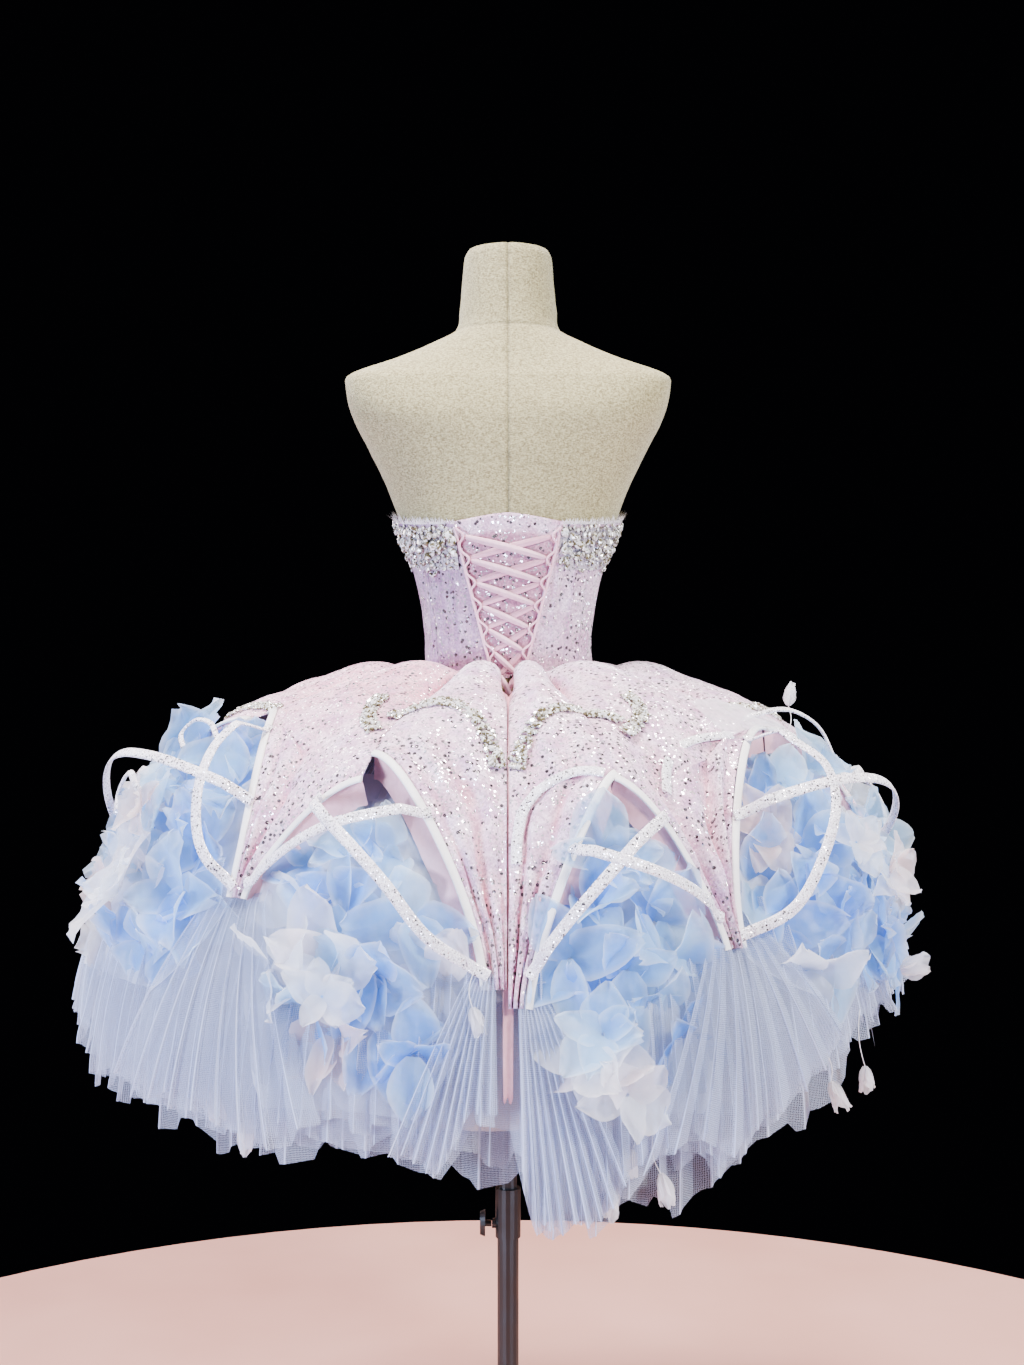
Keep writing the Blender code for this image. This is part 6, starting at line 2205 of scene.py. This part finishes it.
@dataclass
class Buds:
    """Tulip-shaped organza buds on thin wires."""

    finishes: Finishes
    wire: float = 0.0008

    def build(self) -> None:
        """Make each bud and its wire."""
        for number, (foot, root, size, way) in enumerate(BUDS):
            foot, root, way = np.array(foot), np.array(root), normalise(np.array(way))
            bloom = Blossoms(900 + number)
            first = normalise(np.cross(way, [0.31, 0.94, 0.12]))
            second = np.cross(way, first)
            for k in range(5):
                turn = TAU * k / 5 + bloom.random.normal(0.0, 0.2)
                flat = first * math.cos(turn) + second * math.sin(turn)
                bloom.petal(foot + flat * 0.001, way + flat * bloom.random.uniform(0.25, 0.65),
                            way * 0.3 - flat, size * bloom.random.uniform(0.85, 1.1),
                            size * 0.62, -0.5, 1.0, (0.95, 0.92, 0.95))
            name = f"bud_{number + 1}"
            bud = place(bloom.cloth.build(name, self.finishes.flower, crease=80.0),
                        Slot.FLOWER)
            share = np.linspace(0.0, 1.0, 24)[:, None]
            bow = np.array([0.004 * (-1.0) ** number, 0.003, 0.0])
            path = root + (foot - root) * share + bow * np.sin(np.pi * share)
            wire = MeshBuffer()
            outward = np.broadcast_to(np.array([0.1, 1.0, 0.05]), path.shape)
            wire.grid(sweep(path, outward, wire_section(self.wire / 2.0, 6)), ring=True,
                      caps=True)
            stem = place(wire.build(name + "_wire", self.finishes.white_satin), Slot.FLOWER)


@dataclass
class Curls:
    """Loose ends of tape that curl off the skirt's edge, and a sheer veil on one hood."""

    finishes: Finishes

    def build(self) -> None:
        """Make two closed loops, one long tube and the veil."""
        tubes = (
            ("tape_loop_left", 0.0080, ((60.5, 0.372, 0.016), (67.0, 0.356, 0.020),
                                        (72.5, 0.360, 0.023), (75.0, 0.378, 0.020),
                                        (72.5, 0.392, 0.010))),
            ("tape_curl_left", 0.0060, ((56.0, 0.290, 0.008), (60.0, 0.278, 0.016),
                                        (64.5, 0.280, 0.021), (66.0, 0.296, 0.016),
                                        (63.0, 0.308, 0.007))),
            ("tape_tube_right", 0.0075, ((309.0, 0.246, 0.004), (304.0, 0.250, 0.014),
                                         (298.5, 0.262, 0.023), (295.5, 0.288, 0.024),
                                         (294.0, 0.318, 0.012))),
        )
        for name, width, places in tubes:
            path = smooth_path(places, 60)
            middle = skin(path[:, 0], path[:, 1], path[:, 2])
            normals = skin_normal(path[:, 0], path[:, 1])
            tape = MeshBuffer()
            tape.grid(sweep(middle, normals, round_section(width, 0.0034, 0.0, 12)), None,
                      ring=True, caps=True)
            place(tape.build(name, self.finishes.band), Slot.BAND)
        angle, run = np.meshgrid(np.linspace(299.0, 318.0, 34), np.linspace(0.205, 0.270, 16))
        share = (angle - 299.0) / 19.0
        sag = 0.008 * np.sin(np.pi * share) + 0.002 * waves(angle / 6.0, run / 0.05, 810, 3)
        veil = MeshBuffer()
        veil.grid(skin(angle, run, 0.006 + sag * 0.6), None, (0.86, 0.86, 0.92))
        piece = place(veil.build("hood_veil_right", self.finishes.sheer), Slot.FLOWER)


@dataclass
class Slip:
    """Beige satin slip with soft flared folds."""

    finishes: Finishes

    def build(self) -> None:
        """Make the slip."""
        angle, share = np.meshgrid(np.linspace(0.0, 360.0, 181)[:-1], np.linspace(0.0, 1.0, 30))
        run = share * LINING.place[-1]
        drape = 0.009 * share * np.sin(np.radians(11.0 * angle) + 1.5 * np.sin(
            np.radians(3.0 * angle))) + 0.003 * waves(angle / 30.0, share * 2.0, 90, 3) * share
        cloth = MeshBuffer()
        cloth.grid(surface(LINING, angle, run, drape - 0.004),
                   np.stack([np.radians(angle) * 0.28, run], axis=-1), ring=True)
        piece = place(cloth.build("satin_slip", self.finishes.beige_satin, 0.0006), Slot.SLIP,
                      ("lining",))


# ---- scene ----------------------------------------------------------------------------------
@dataclass
class Studio:
    """Camera at the photo's angle, soft lights and a pale floor."""

    def camera(self) -> None:
        """Level camera behind the dress, at waist height."""
        data = bpy.data.cameras.new("camera")
        data.lens, data.sensor_width, data.sensor_fit = 45.86, 36.0, "AUTO"
        data.shift_x = 0.0029
        camera = bpy.data.objects.new("camera", data)
        camera.location = (0.0, 2.05, 1.073)
        camera.rotation_euler = (math.radians(90.0), 0.0, math.radians(180.0))
        bpy.context.collection.objects.link(camera)
        bpy.context.scene.camera = camera

    @staticmethod
    def lamp(name: str, spot: Sequence[float], aim: Sequence[float], size: float,
             power: float, colour: str) -> None:
        """One soft square light.

        Args:
            name: Name of the light.
            spot: Where it hangs.
            aim: Point that it shines at.
            size: Side in metres.
            power: Watts.
            colour: Colour of the light.
        """
        data = bpy.data.lights.new(name, "AREA")
        data.shape, data.size, data.energy = "SQUARE", size, power
        data.color = srgb(colour)[:3]
        lamp = bpy.data.objects.new(name, data)
        lamp.location = spot
        lamp.rotation_euler = (Vector(aim) - Vector(spot)).to_track_quat("-Z", "Y").to_euler()
        bpy.context.collection.objects.link(lamp)

    def build(self) -> None:
        """Light the dress, then lay the floor."""
        world = bpy.data.worlds.new("studio")
        world.use_nodes = True
        world.node_tree.nodes["Background"].inputs["Color"].default_value = srgb("040406")
        bpy.context.scene.world = world
        middle = (0.0, 0.0, 1.0)
        low = (0.0, 0.2, 0.75)
        self.lamp("key", (-1.9, 2.1, 2.6), middle, 0.4, 175.0, "fffaf0")
        self.lamp("fill_left", (2.4, 2.0, 0.75), low, 0.8, 235.0, "d2deff")
        self.lamp("fill_right", (-2.2, 2.0, 0.6), low, 0.8, 95.0, "d2deff")
        self.lamp("rim_left", (2.0, -2.2, 2.2), middle, 1.2, 90.0, "fff0f0")
        self.lamp("rim_right", (-2.0, -2.2, 2.2), middle, 1.2, 80.0, "ffffff")
        self.lamp("top", (0.5, 0.4, 3.2), middle, 0.7, 200.0, "fff8f6")
        pen = Pen("pale_pink_floor")
        place_on = pen.object_place()
        pen.shade(Base_Color=pen.mix(pen.noise(place_on, 0.4, 3.0), srgb("e8ad9e"),
                                     srgb("c98c7c")), Roughness=0.6, IOR=1.45)
        turn = np.linspace(0.0, TAU, 97)[:-1]
        mesh = bpy.data.meshes.new("floor")
        mesh.from_pydata([(1.42 * math.sin(t), 1.42 * math.cos(t), 0.0) for t in turn], [],
                         [list(range(96))[::-1]])
        mesh.materials.append(pen.material)
        floor = bpy.data.objects.new("floor", mesh)
        bpy.context.collection.objects.link(floor)


def main() -> None:
    """Dress the CAD frame."""
    logging.basicConfig(level=logging.INFO, format="%(message)s")
    studio = Studio()
    studio.camera()
    finishes = Finishes()
    steps = [Stand(finishes), DressForm(finishes), Bodice(finishes), CrystalTrim(finishes),
             Lacing(finishes), Slip(finishes), NetSkirt(finishes)]
    steps += [Petal(finishes, index) for index in range(len(PETALS))]
    steps += [Bands(finishes), Garlands(finishes), TipVeils(finishes), Buds(finishes),
              Curls(finishes)]
    steps += [FlowerBed(finishes, index) for index in range(len(FLOWER_BEDS))]
    for step in steps:
        step.build()
        LOG.info("built %s", type(step).__name__)
    studio.build()


if __name__ == "__main__":
    main()
